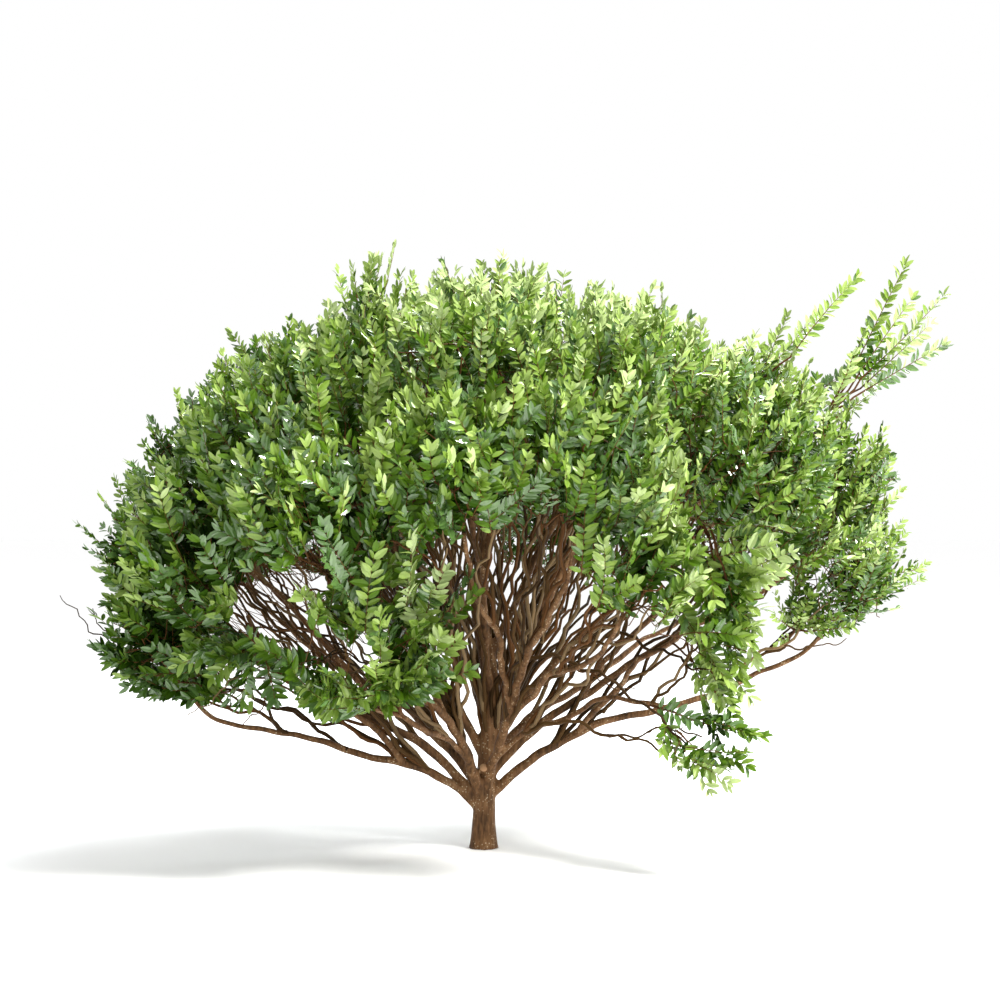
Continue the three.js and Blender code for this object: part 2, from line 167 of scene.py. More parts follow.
def cubicPath(start, startPull, end, endPull, share):
    # Hermite cubic: (2t3-3t2+1) start + (t3-2t2+t) startPull + (3t2-2t3) end + (t3-t2) endPull
    t = np.asarray(share, float)[..., None]
    return ((2 * t ** 3 - 3 * t ** 2 + 1) * start + (t ** 3 - 2 * t ** 2 + t) * startPull
            + (3 * t ** 2 - 2 * t ** 3) * end + (t ** 3 - t ** 2) * endPull)


def swayingPath(start, startPull, end, endPull, phase, share):
    # the cubic, plus sin(pi t) times a sway sideways and one upwards, a little faster
    side = unit(np.cross(upward, end - start))
    fade = bough["wave"] * np.sin(math.pi * np.asarray(share, float))[..., None]
    angle = (2 * math.pi * bough["waves"] * np.asarray(share, float) + phase)[..., None]
    path = cubicPath(start, startPull, end, endPull, share)
    return path + fade * np.sin(angle) * side + fade * np.sin(bough["riseFaster"] * angle + phase) * upward


def runAlong(points):
    # length of the polyline up to each point
    return np.concatenate([[0.0], np.cumsum(lengths(np.diff(points, axis=0)))])


def byLength(pathAt):
    # the same path, but with its share counted along its length
    fine = np.linspace(0, 1, 201)
    run = runAlong(pathAt(fine))
    return lambda share: pathAt(np.interp(np.asarray(share, float) * run[-1], run, fine))


def massOf(name):
    # place and radii from the mass's row, leafy radii as shares of these
    turn, reach, height, across, tall = rows[name][:5]
    full, leafyAcross, leafyTall, lighter, leafShare, rise = habits.get(name, usual)
    radii = np.array([across, across, tall], float)
    return {"centre": placeOf(turn, reach, height), "radii": radii,
            "leafy": radii * (leafyAcross, leafyAcross, leafyTall), "hangs": name in hangingMasses,
            "part": rows[name][10], "full": full, "lighter": lighter, "leafShare": leafShare, "rise": rise}


masses = {name: massOf(name) for name in rows}


def limbOf(name, order):
    # a bough from its parent to the near side of its mass, as in the source: the swaying cubic and the
    # taper; the mass's rounded edge lies 1 / |way / radii| from its middle
    parent, fork, leave, arrive, thick = rows[name][5:10]
    share = fork / leader["height"] if parent == "trunk" else fork
    start = limbs[parent]["at"](share)
    mass = masses[name]
    turn = math.atan2(mass["centre"][1] - start[1], mass["centre"][0] - start[0])
    arriving = direction(turn, arrive)
    end = mass["centre"] - arriving * (1 / lengths(arriving / mass["radii"])) * bough["tipInSpace"]
    span = np.linalg.norm(end - start)
    startPull = direction(turn, leave) * span * bough["pullAtStart"]
    endPull = arriving * span * bough["pullAtEnd"]
    at = byLength(lambda s: swayingPath(start, startPull, end, endPull, order * goldenTurn, s))
    return {"at": at, "radius": lambda s: tapered(thick, bough["tipRadius"], s, bough["taper"]),
            "foot": limbs[parent]["foot"] + share * limbs[parent]["length"],
            "length": runAlong(at(np.linspace(0, 1, 61)))[-1]}


limbs = {"trunk": {
    "at": byLength(leaderPath), "radius": leaderRadius, "foot": 0.0, "length": leader["height"]}}
for order, name in enumerate(rows):
    if rows[name][5] != "leader's tip":
        limbs[name] = limbOf(name, order)
mainLimbs = [name for name in limbs if name != "trunk"]
print("limbs:", len(limbs))

crown = {
    "focusHeight": 330,  # growth points away from here
    "sharpness": 5.0, "low": (-772, -680, 60), "high": (858, 764, 1086),
    "hangsOff": 60,  # the masses that hang count as so much further away
    "spread": 1.35, "tries": 40,
}
chances = np.random.default_rng(11)
massNames = list(masses)
middles = np.array([mass["centre"] for mass in masses.values()])
hangs = np.array([mass["hangs"] for mass in masses.values()])
# leafy places that close the crown between the masses: turn, reach, height, across, tall
between = (
    (215, 250, 850, 135, 105), (330, 325, 832, 130, 98), (90, 250, 870, 150, 110), (148, 362, 785, 135, 110),
    (28, 395, 782, 135, 108), (18, 560, 640, 125, 125), (340, 520, 700, 120, 120), (165, 515, 595, 122, 112),
    (199, 485, 635, 120, 108), (56, 560, 590, 130, 120), (94, 540, 590, 130, 120), (132, 540, 580, 130, 120),
    (184, 375, 770, 105, 92), (90, 430, 740, 150, 120),
    (350, 560, 548, 92, 82), (300, 120, 898, 120, 85), (150, 200, 880, 120, 88),
)
leafyMiddles = np.concatenate([middles, [placeOf(*row[:3]) for row in between]])
leafyRadii = np.array([mass["leafy"] for mass in masses.values()]
                      + [(row[3], row[3], row[4]) for row in between])
# open places under the crown, where the branches show: middles and radii
clearings = np.array([
    ((-316, -160, 468), (98, 430, 96)), ((-262, -230, 395), (70, 330, 44)),
    ((-190, -330, 372), (40, 240, 40)), ((-385, -120, 420), (50, 300, 26)),
    ((-258, -230, 524), (46, 420, 52)), ((-160, -260, 470), (24, 260, 30)),
], float)


def growthAt(points, upwards):
    # away from the focus on the trunk's axis, plus a share upwards, or downwards where the share is below 0
    return unit(unit(points - upward * crown["focusHeight"]) + upward * np.reshape(upwards, (-1, 1)))


def crownField(points, swell=1.0):
    # sum over the leafy places of exp(-k (|offset / radii| / swell - 1)), 1 or more inside the crown
    q = lengths((points[:, None] - leafyMiddles) / leafyRadii) / np.reshape(swell, (-1, 1))
    return np.exp(-crown["sharpness"] * (q - 1)).sum(axis=1)


def inBounds(points):
    # true between the crown's low and high corners
    return ((points > crown["low"]) & (points < crown["high"])).all(axis=-1)


def inClearing(points):
    # true where |(point - middle) / radii| < 1 for any of them
    return (lengths((points[..., None, :] - clearings[:, 0]) / clearings[:, 1]) < 1).any(axis=-1)


def nearestMass(points):
    # the number of the mass whose middle is nearest
    return np.argmin(lengths(points[:, None] - middles) + crown["hangsOff"] * hangs, axis=1)


def spreadIn(number, rule, count):
    # random places in the mass's share of the crown, each further than apart from the ones before
    mass = masses[massNames[number]]
    tried = chances.uniform(-crown["spread"], crown["spread"], (count * crown["tries"], 3))
    spots = mass["centre"] + tried * mass["radii"]
    spots = spots[(crownField(spots, rule["swell"]) >= 1) & (nearestMass(spots) == number)]
    chosen = np.zeros((0, 3))
    for spot in spots:
        if len(chosen) == count:
            break
        if not len(chosen) or lengths(chosen - spot).min() > rule["apart"]:
            chosen = np.concatenate([chosen, spot[None]])
    return chosen


def joinedSets(sets):
    # several sets of arrays as one, key by key
    return {key: np.concatenate([own[key] for own in sets]) for key in sets[0]}


def picked(arrays, which):
    # the chosen ones of every array of a set
    return {key: values[which] for key, values in arrays.items()}


def knotsOf(path, radii, foot):
    # places along a limb where a finer one may fork: point, direction, thickness, length of the way back
    return {"point": path, "way": unit(np.gradient(path, axis=0)), "radius": radii,
            "run": foot + runAlong(path)}


def limbKnots(names, near, far, count):
    # so many knots of each limb, evenly spaced between two shares
    shares = np.linspace(near, far, count)
    return [knotsOf(limb["at"](shares), limb["radius"](shares), limb["foot"] + near * limb["length"])
            for limb in [limbs[name] for name in names]]


def stemKnots(grown, first, last=None, lead=None):
    # the knots of each stem between two rings; a lead, and the stem's own run, may be added to the way back
    return [knotsOf(own["path"][first:last], own["radii"][first:last],
                    0 if lead is None else lead + runAlong(own["path"])[first]) for own in grown]


def nearestKnot(knots, place, taken=0):
    # the number of the knot where distance + taken is least
    return int(np.argmin(lengths(knots["point"] - place) + taken))


# every finer stem: its sways, each a size and a number of turns, and its taper
stem = {"sways": ((1.0, 1.0), (0.5, 2.3), (0.2, 4.6)), "overFaster": 1.17, "fade": 0.6, "fullSpan": 160,
        "taper": 0.9}


def stemOf(start, startPull, end, endPull, rule, phase, thick):
    # the cubic, plus sin(pi t)^fade times three sways to the side and over, each smaller and shorter
    shares = np.linspace(0, 1, rule["rings"])
    span = np.linalg.norm(end - start)
    ahead = unit(end - start)
    side = unit(np.cross(upward + 0.01, ahead))  # a little off the upright, which a stem may follow
    lift = np.cross(ahead, side)
    fade = np.sin(math.pi * shares) ** stem["fade"]
    wide = rule["wave"] * min(1, span / stem["fullSpan"])
    across, over = 0, 0
    for size, turns in stem["sways"]:
        angle = 2 * math.pi * span / rule["waveLength"] * turns * shares
        across = across + wide * size * np.sin(angle + phase * (1 + turns))
        over = over + wide * size * np.sin(angle * stem["overFaster"] + phase * (2 + turns))
    path = cubicPath(start, startPull, end, endPull, shares)
    path = path + (fade * across)[:, None] * side + (fade * over)[:, None] * lift
    return {"path": path, "radii": tapered(thick, rule["tip"], shares, stem["taper"])}


growth = {"ahead": 0.6, "pullAtStart": 0.9, "pullAtEnd": 0.6, "ofParent": 0.8, "thinnest": 0.45,
          "thickestSpan": 500}


def growFrom(knots, targets, hanging, rule, phase):
    # each target forks from the knot that costs least: weighed distance + forkBias * way back; its stem
    # leaves between the parent's way and its own, and arrives in the way of growth
    grown = []
    weigh = np.array([rule["level"], rule["level"], 1])
    upwards = np.where(hanging, rule["hangingRise"], rule["rise"])
    first = max(1, int(rule["rings"] * rule["forkFrom"]))
    for order in np.argsort(lengths(targets - upward * crown["focusHeight"])):
        target = targets[order]
        distance = lengths((knots["point"] - target) * weigh)
        bias = rule["forkBias"] + rule["biasSpread"] * ((order * goldenShare) % 1 - 0.5)
        fork = int(np.argmin(distance + bias * knots["run"]))
        start = knots["point"][fork]
        span = np.linalg.norm(target - start)
        if span < rule["shortest"]:
            continue
        ahead = unit(target - start)
        leaving = unit(rule["follow"] * knots["way"][fork] + ahead + rule["lift"] * upward)
        arriving = unit(growthAt(target[None], upwards[order])[0] + growth["ahead"] * ahead)
        thick = rule["thick"] * min(1.0, growth["thinnest"] + span / growth["thickestSpan"])
        thick = max(min(knots["radius"][fork] * growth["ofParent"], thick), rule["tip"])
        new = stemOf(start, leaving * span * growth["pullAtStart"], target,
                     arriving * span * growth["pullAtEnd"], rule, phase + order * goldenTurn, thick)
        own = knotsOf(new["path"], new["radii"], knots["run"][fork])
        knots = joinedSets([knots, picked(own, slice(first, None))])
        grown.append(new)
    return grown


def levelOf(rule, knots):
    # one level of growth: places spread in every mass, and a stem to each of them
    spots = [spreadIn(number, rule, math.ceil(rule["perMass"] * min(1, mass["full"])))
             for number, mass in enumerate(masses.values())]
    owner = np.repeat(np.arange(len(masses)), [len(own) for own in spots])
    return growFrom(knots, np.concatenate(spots), hangs[owner], rule, rule["phase"])


# the three levels of growth; onBoughs and onLeader: the shares to fork between, and how many knots
riserRule = {
    "perMass": 23, "swell": 0.74, "apart": 40, "forkBias": 0.9, "biasSpread": 0.4, "forkFrom": 0.12,
    "level": 1.1, "follow": 0.75, "lift": 0.5, "rise": 0.9, "hangingRise": -0.2, "shortest": 90, "phase": 0.7,
    "rings": 30, "wave": 8.5, "waveLength": 200, "thick": 4.2, "tip": 1.4,
    "onBoughs": (0.22, 0.66, 36), "onLeader": (0.2, 0.5, 40),
}
branchRule = {
    "perMass": 6, "swell": 0.78, "apart": 62, "forkBias": 0.8, "biasSpread": 0.2, "forkFrom": 0.25,
    "level": 1.0, "follow": 0.7, "lift": 0.1, "rise": 0.8, "hangingRise": -0.5, "shortest": 40, "phase": 1.9,
    "rings": 14, "wave": 5.5, "waveLength": 100, "thick": 2.4, "tip": 1.3,
    "onBoughs": (0.4, 1, 24), "onLeader": (0.6, 1, 24), "riserRing": 12, "riserLead": 300,
}
twigRule = {
    "perMass": 71, "swell": 0.87, "apart": 36, "forkBias": 0.55, "biasSpread": 0.2, "forkFrom": 0.3,
    "level": 1.0, "follow": 0.6, "lift": 0.1, "rise": 0.8, "hangingRise": -0.4, "shortest": 12, "phase": 3.3,
    "rings": 7, "wave": 2.6, "waveLength": 60, "thick": 1.5, "tip": 0.95,
    "onBoughs": (0.7, 1, 16), "lastRings": 12, "within": 1.6,
}
# risers left out where they cross open places in the fan of stems: middle, radii, one of how many stays
thinned = (((312, 20, 358), (82, 480, 76), 3), ((-305, -60, 470), (72, 420, 66), 2))

knots = joinedSets(limbKnots(mainLimbs, *riserRule["onBoughs"])
                   + limbKnots(["trunk"], *riserRule["onLeader"]))
risers = levelOf(riserRule, knots)
for middle, radii, stays in thinned:
    risers = [own for order, own in enumerate(risers)
              if order % stays == 0 or lengths((own["path"] - middle) / radii).min() > 1]
knots = joinedSets(limbKnots(mainLimbs, *branchRule["onBoughs"])
                   + limbKnots(["trunk"], *branchRule["onLeader"])
                   + stemKnots(risers, branchRule["riserRing"], lead=branchRule["riserLead"]))
branches = levelOf(branchRule, knots)
print("risers:", len(risers), "branches:", len(branches))

outerKnots = stemKnots(risers + branches, -twigRule["lastRings"])
knots = joinedSets(limbKnots(mainLimbs, *twigRule["onBoughs"]) + outerKnots)
twigs = {}
for number, (name, mass) in enumerate(masses.items()):
    count = int(round(twigRule["perMass"] * mass["full"]))
    if count:
        targets = spreadIn(number, twigRule, count)
        close = lengths(knots["point"] - mass["centre"]) < mass["radii"].max() * twigRule["within"]
        hanging = np.full(len(targets), mass["hangs"])
        twigs[name] = growFrom(picked(knots, close), targets, hanging, twigRule, number * twigRule["phase"])
print("twigs:", sum(len(own) for own in twigs.values()))

# long shoots that stand out of the crown or hang below it: the tips, in millimetres, that each mass sends out
longShoots = {
    "right_spray": (
        (753, -30, 1046), (776, 30, 992), (825, -10, 992), (835, 40, 908), (690, 50, 806), (681, -40, 935),
        (816, 60, 948), (655, -60, 884), (727, 80, 836)),
    "right_shoulder": (
        (668, -20, 1024), (604, 40, 962), (540, -50, 952), (490, 20, 921), (385, -40, 943), (700, 60, 880)),
    "spire_left": (
        (-159, -30, 1078), (-197, 20, 1064), (-233, -60, 1041), (-263, 10, 1035), (-130, 40, 1030)),
    "crown_top": ((-69, -50, 1048), (29, -20, 1048), (100, -60, 1036), (60, 90, 1030), (-20, 120, 1044)),
    "crown_right": ((300, -40, 1003), (200, 30, 1010), (260, 110, 990)),
    "left_shoulder": ((-453, 0, 927), (-388, -60, 910), (-420, 90, 915), (-470, -40, 862), (-349, -20, 948)),
    "left_upper": ((-598, 20, 770), (-545, -70, 815), (-500, 40, 852), (-634, -30, 690)),
    "left_flank": ((-731, 20, 581), (-684, -20, 632), (-700, 60, 520)),
    "left_low": (
        (-668, -40, 420), (-640, 30, 345), (-600, -110, 312), (-547, -120, 294), (-478, -180, 284),
        (-520, -60, 300)),
    "left_front": (
        (-411, -240, 281), (-345, -300, 292), (-450, -300, 330), (-380, -350, 345), (-520, -230, 345),
        (-394, -200, 272), (-436, -160, 280), (-267, -260, 266), (-360, -180, 286)),
    "front_left_low": (
        (-284, -340, 300), (-160, -430, 325), (-100, -440, 345), (-250, -470, 330), (-60, -420, 350),
        (-90, -480, 370), (-130, -500, 345), (-19, -420, 500), (-8, -400, 474), (-60, -440, 512),
        (-20, -400, 350), (-40, -430, 400), (-100, -460, 430)),
    "right_flank": (
        (709, 20, 702), (690, -60, 640), (640, -30, 775), (655, -20, 812), (628, 40, 752), (600, -80, 790)),
    "right_low": (
        (758, 0, 565), (788, -30, 512), (740, 60, 470), (650, -70, 402), (524, -40, 374), (560, -50, 406),
        (590, -40, 437), (548, -30, 446), (516, -60, 420)),
    "drooping_tip": (
        (296, -330, 216), (326, -330, 186), (461, -325, 236), (376, -330, 200), (350, -332, 262)),
    "hanging": (
        (404, -333, 372), (396, -322, 300), (418, -338, 262), (392, -335, 228), (430, -325, 330),
        (438, -330, 470), (395, -335, 482), (447, -325, 420), (382, -330, 430), (414, -330, 520),
        (450, -330, 362), (436, -336, 396), (402, -328, 410), (424, -330, 345), (410, -340, 318),
        (442, -322, 300), (388, -328, 345), (405, -335, 284)),
    "back_centre_left": ((-250, 700, 700), (-180, 640, 760)),
    "back_centre_right": ((170, 700, 690), (90, 660, 770)),
    "back_left": ((-620, 330, 690), (-560, 400, 720)),
    "back_right": ((600, 380, 700), (560, 470, 640)),
}
shootRule = {
    "rings": 14, "wave": 3.5, "waveLength": 120, "thick": 2.2, "tip": 0.7, "longest": 190, "lift": 0.25,
    "follow": 0.5, "pull": 0.8, "fanFrom": 0.9, "rise": 0.9, "hangingRise": -1.2, "hangingLift": 3,
    "onBough": (0.6, 1, 16), "taken": 45, "takenWithin": 20,
}


def longShootsOf(name):
    # the shoots of a mass fan out from one place behind it; each leaves the knot nearest to its line there
    # and arches upwards; on a hanging mass each adds taken * exp(-distance / takenWithin) around its knot
    mass = masses[name]
    ways = growthAt(mass["centre"][None], shootRule["hangingRise"] if mass["hangs"] else shootRule["rise"])
    source = mass["centre"] - ways[0] * mass["radii"].max() * shootRule["fanFrom"]
    near = joinedSets(limbKnots([name] if name in limbs else [], *shootRule["onBough"]) + outerKnots)
    lift = shootRule["lift"] * (shootRule["hangingLift"] if mass["hangs"] else 1)
    grown, taken = [], 0
    for order, tip in enumerate(np.array(longShoots[name], float)):
        ahead = unit(tip - source)
        aim = tip - ahead * min(shootRule["longest"], np.linalg.norm(tip - source))
        fork = nearestKnot(near, aim, taken)
        start = near["point"][fork]
        around = np.exp(-lengths(near["point"] - start) / shootRule["takenWithin"])
        taken = taken + shootRule["taken"] * mass["hangs"] * around
        span = np.linalg.norm(tip - start)
        leaving = unit(unit(tip - start) + shootRule["follow"] * near["way"][fork])
        arriving = unit(ahead + lift * growthAt(tip[None], 1.0)[0])
        grown.append(stemOf(start, leaving * span * shootRule["pull"], tip,
                            arriving * span * shootRule["pull"], shootRule, order * goldenTurn,
                            shootRule["thick"]))
    return grown


shoots = {name: longShootsOf(name) for name in longShoots}
print("long shoots:", sum(len(own) for own in shoots.values()))

# bare twigs that stick out below the leaves: the place that each comes from, and its tip
bareRows = (
    ((-610, -50, 296), (-759, -20, 455)), ((-650, -40, 345), (-704, 0, 431)),
    ((-400, -200, 300), (-500, -240, 262)), ((540, -60, 360), (640, -80, 382)),
    ((-330, -250, 300), (-400, -300, 250)), ((150, -120, 330), (262, -160, 300)),
)
bareRule = {
    "rings": 22, "wave": 6, "waveLength": 90, "thick": 1.9, "tip": 0.8, "thickFrom": 1, "phase": 0,
    "pull": 0.8, "dip": 30, "rise": 48, "onLimbs": (0.3, 1, 40), "onRisers": (8,),
}
# stems that bend over, or rise, in the open place at the right: also the pulls at the fork and the tip
bendingRows = (
    ((97, -200, 344), (343, -320, 216), (240, -30, 95), (170, -50, -190)),
    ((200, -200, 361), (382, -300, 346), (150, -40, 60), (150, -40, 30)),
    ((347, -280, 308), (398, -300, 460), (60, -10, 100), (10, 0, 120)),
    ((330, -270, 330), (386, -300, 440), (80, -10, 60), (0, 0, 120)),
)
bendingRule = {
    "rings": 24, "wave": 6, "waveLength": 110, "thick": 3.9, "tip": 1.6, "thickFrom": 240, "phase": 1.3,
    "onLimbs": (0.05, 0.9, 60), "onRisers": (0, -4),
}


def looseStems(rows, rule, names):
    # a stem from the knot nearest to each row's first place to its tip, thinner where it is short; where
    # the row gives no pulls, it leaves with a dip and arrives with a rise
    knots = joinedSets(limbKnots(names, *rule["onLimbs"]) + stemKnots(risers, *rule["onRisers"]))
    made = []
    for order, row in enumerate(rows):
        aim, tip, *pulls = np.array(row, float)
        start = knots["point"][nearestKnot(knots, aim)]
        if not pulls:
            along = (tip - start) * rule["pull"]
            pulls = along - upward * rule["dip"], along + upward * rule["rise"]
        thick = rule["thick"] * min(1, np.linalg.norm(tip - start) / rule["thickFrom"])
        made.append(stemOf(start, pulls[0], tip, pulls[1], rule, rule["phase"] + order * goldenTurn, thick))
    return made


bareTwigs = looseStems(bareRows, bareRule, ("left_low", "right_low", "left_front"))
bendingStems = looseStems(bendingRows, bendingRule, mainLimbs)

# leafy sprigs, each a shoot with leaves in two rows: on the twigs, on the long shoots, and their leaves
sprig = {
    "shortest": 80, "longest": 155, "longShare": 0.16, "long": 1.35, "leastShare": 0.4, "scatter": 0.28,
    "sides": ((1.0, 0), (0.8, 1), (0.55, -1)), "sideShare": 0.62, "sidesUp": 0.4, "spread": 38,
    "spreadChance": (0.7, 1.3), "sideways": 0.45, "swell": (0.88, 1.12), "drawnIn": (1.0, 0.85, 0.7, 0.55),
    "bend": 0.22, "bendChance": 0.4, "sag": 0.4, "hangingSag": -0.7, "roll": 40, "flatOut": (0.2, 1.3),
    "openSide": 0.45, "footRadius": 0.9, "tipRadius": 0.4, "stemEnds": 0.94, "stemRings": 4,
}
shoot = {
    "leafyFrom": 0.3, "sides": tuple((0.14 + 0.11 * k, 1 - 2 * (k % 2)) for k in range(5)), "sideShare": 0.7,
    "sideLength": 0.5, "onwards": 1.2, "sideways": 1.6, "rise": 0.6, "scatter": 0.15, "swell": 1.15,
    "openSide": 2.5, "radius": 1.5, "noSides": ("right_spray", "drooping_tip", "hanging"),
}
leaf = {
    "length": 19, "width": 7.7, "fold": 0.28, "curl": 0.16, "kept": 0.95, "leanAtFoot": 60, "leanAtTip": 36,
    "pairGap": 8.8, "pairGapLeast": 0.3, "fewestPairs": 3, "firstPair": 0.7, "lastPair": 0.1,
    "lifted": 0.25, "wayChance": 0.15, "upFacing": 0.95, "faceChance": 0.42, "shift": 2.5,
    "sizeChance": (0.8, 1.2), "sizeAlong": (0.74, 0.42, 0.16, 0.66),
    # the outline: share of the length, share of the half-width at three stations between the ends
    "stations": ((0.17, 0.7), (0.48, 1.0), (0.82, 0.64)),
}
leafyRing = int(round(shoot["leafyFrom"] * (shootRule["rings"] - 1)))


def arraysOf(grown, last=None):
    # the paths and the radii of a set of stems, up to one of their rings
    return [np.array([own[key][:last] for own in grown]) for key in ("path", "radii")]


def sprigStarts(paths, sides, sideShare, rng):
    # foot and way of a sprig at each chosen share of each twig: the twig's way, turned aside by the spread
    foots, ways = [], []
    for share, hand in sides:
        ring = int(round(share * (paths.shape[1] - 1)))
        along = unit(paths[:, ring] - paths[:, ring - 1])
        side = unit(np.cross(along, unit(paths[:, -1]) + sprig["sidesUp"] * upward))
        keep = rng.random(len(paths)) < (1.0 if hand == 0 else sideShare)
        spread = side * hand * math.tan(math.radians(sprig["spread"]))
        foots.append(paths[keep, ring])
        ways.append(unit(along + spread * rng.uniform(*sprig["spreadChance"], (len(paths), 1)))[keep])
    return np.concatenate(foots), np.concatenate(ways)


def dressed(mass, foot, way, length, bend, openSide, seed, rng):
    # the rest of what a sprig is: how it is turned to the light, and its own chance for size and tint
    flatOut = (unit(foot * np.array([1, 1, 0]) + 1e-6)
               + rng.uniform(*sprig["flatOut"], (len(foot), 1)) * upward)
    flatOut = flatOut + np.array([0, -1, 0]) * (openSide * (mass["part"] != "back"))
    facing = unit(flatOut - way * np.sum(flatOut * way, axis=1, keepdims=True))
    roll = np.radians(rng.normal(0, sprig["roll"], len(foot)))[:, None]
    facing = facing * np.cos(roll) + np.cross(way, facing) * np.sin(roll)
    return {"foot": foot, "way": way, "facing": facing, "length": length, "bend": bend, "seed": seed,
            "thick": np.full(len(foot), sprig["footRadius"]),
            "chance": rng.random(len(foot)), "lighter": mass["lighter"], "leafShare": mass["leafShare"]}


def sprigsOf(name, seed):
    # one sprig carries each twig's tip onwards and others leave it to either side,
    # drawn in to end inside the crown
    mass = masses[name]
    rng = np.random.default_rng(seed)
    paths = arraysOf(twigs[name])[0]
    foot, way = sprigStarts(paths, sprig["sides"], sprig["sideShare"], rng)
    way = unit(sprig["sideways"] * way + growthAt(foot, mass["rise"])
               + rng.normal(0, sprig["scatter"], way.shape))
    length = rng.uniform(sprig["shortest"], sprig["longest"], len(foot))
    length = length * (sprig["leastShare"] + (1 - sprig["leastShare"]) * mass["leafShare"])
    length = np.where(rng.random(len(foot)) < sprig["longShare"], length * sprig["long"], length)
    swell = rng.uniform(*sprig["swell"], len(foot))
    fitted = np.zeros(len(foot))
    for drawnIn in sprig["drawnIn"]:
        tip = foot + way * (length * drawnIn)[:, None]
        fits = (crownField(tip, swell) >= 1) & inBounds(tip) & ~inClearing(tip)
        fitted = np.where((fitted == 0) & fits, length * drawnIn, fitted)
    keep = fitted > 0
    foot, way, length = foot[keep], way[keep], fitted[keep]
    sag = upward * (sprig["hangingSag"] if mass["hangs"] else sprig["sag"])
    bend = (sag + rng.normal(0, sprig["bendChance"], way.shape)) * sprig["bend"]
    return dressed(mass, foot, way, length, bend, sprig["openSide"], seed, rng)


def shootSprigsOf(name, seed):
    # a long shoot is leafy along its outer part, with short sprigs to either side of its lower part
    mass = masses[name]
    rng = np.random.default_rng(seed)
    paths = arraysOf(shoots[name])[0]
    foot = paths[:, leafyRing]
    across = paths[:, -1] - foot
    way = unit(unit(paths[:, leafyRing + 1] - foot) + shoot["onwards"] * unit(across))
    length = lengths(across)
    bend = across / length[:, None] - way
    sideFoot, sideWay = sprigStarts(paths, shoot["sides"], shoot["sideShare"], rng)
    scatter = rng.normal(0, shoot["scatter"], sideWay.shape)
    sideWay = unit(shoot["sideways"] * sideWay + growthAt(sideFoot, shoot["rise"]) + scatter)
    sideLength = rng.uniform(sprig["shortest"], sprig["longest"], len(sideFoot)) * shoot["sideLength"]
    sideBend = rng.normal(0, sprig["bendChance"], sideWay.shape) * sprig["bend"]
    tip = sideFoot + sideWay * sideLength[:, None]
    keep = inBounds(tip) & (crownField(tip, shoot["swell"]) >= 1) & (name not in shoot["noSides"])
    both = [np.concatenate([own, beside[keep]])
            for own, beside in ((foot, sideFoot), (way, sideWay), (length, sideLength), (bend, sideBend))]
    made = dressed(mass, *both, shoot["openSide"], seed, rng)
    made["thick"][:len(foot)] = shoot["radius"]
    return made


def shootPoints(sprigs, share):
    # foot + L (t way + t^2 bend)
    t = share[..., None]
    length = sprigs["length"][:, None, None]
    return sprigs["foot"][:, None] + length * (t * sprigs["way"][:, None] + t ** 2 * sprigs["bend"][:, None])


def leavesOf(sprigs):
    # pairs of leaves up the shoot and one at its end, each a + b sin(pi (c + d s)) of the usual length
    rng = np.random.default_rng(sprigs["seed"] + 1000)  # a row of chances apart from that of the tints
    gap = leaf["pairGap"] * (leaf["pairGapLeast"] + (1 - leaf["pairGapLeast"]) * sprigs["leafShare"])
    pairs = np.maximum(leaf["fewestPairs"], np.round(sprigs["length"] / gap)).astype(int)
    step = np.arange(pairs.max())[None, :]
    share = np.minimum((step + leaf["firstPair"]) / (pairs[:, None] - leaf["lastPair"]), 1.0)
    foot = shootPoints(sprigs, share)
    along = unit(sprigs["way"][:, None] + 2 * share[..., None] * sprigs["bend"][:, None])
    facing = sprigs["facing"][:, None]
    side = unit(np.cross(along, facing))
    lean = np.radians(leaf["leanAtFoot"] + (leaf["leanAtTip"] - leaf["leanAtFoot"]) * share)[..., None]
    a, b, c, d = leaf["sizeAlong"]
    size = leaf["length"] * sprigs["leafShare"] * (a + b * np.sin(math.pi * (c + d * share)))
    owner = np.broadcast_to(np.arange(len(pairs))[:, None], share.shape)
    sets = []
    for hand in (-1, 0, 1):
        if hand:
            ways = along * np.cos(lean) + hand * side * np.sin(lean)
            kept = (step < pairs[:, None]) & (rng.random(share.shape) < leaf["kept"]) & ~inClearing(foot)
        else:
            ways = along
            kept = (step == pairs[:, None] - 1) & ~inClearing(foot)
        ways = unit(ways + leaf["lifted"] * facing + rng.normal(0, leaf["wayChance"], ways.shape))
        tilt = leaf["upFacing"] * rng.random(share.shape)[..., None]
        normal = unit(facing + tilt * along + rng.normal(0, leaf["faceChance"], ways.shape))
        shifted = foot + along * rng.uniform(-leaf["shift"], leaf["shift"], share.shape)[..., None]
        sized = size * rng.uniform(*leaf["sizeChance"], share.shape)
        whole = {"foot": shifted, "along": ways, "facing": normal, "length": sized, "share": share,
                 "sprig": owner}
        sets.append(picked(whole, kept))
    return joinedSets(sets)


def leafCorners():
    # foot, left and right edge at three stations, tip, and the middle of the midrib; 8 triangles
    edges = [(run, hand * wide) for run, wide in leaf["stations"] for hand in (-1, 1)]
    corners = [(0.0, 0.0), *edges, (1.0, 0.0), (leaf["stations"][1][0], 0.0)]
    rim = (0, 2, 4, 6, 7, 5, 3, 1)
    return np.array(corners), np.array([(8, rim[k], rim[(k + 1) % 8]) for k in range(8)])


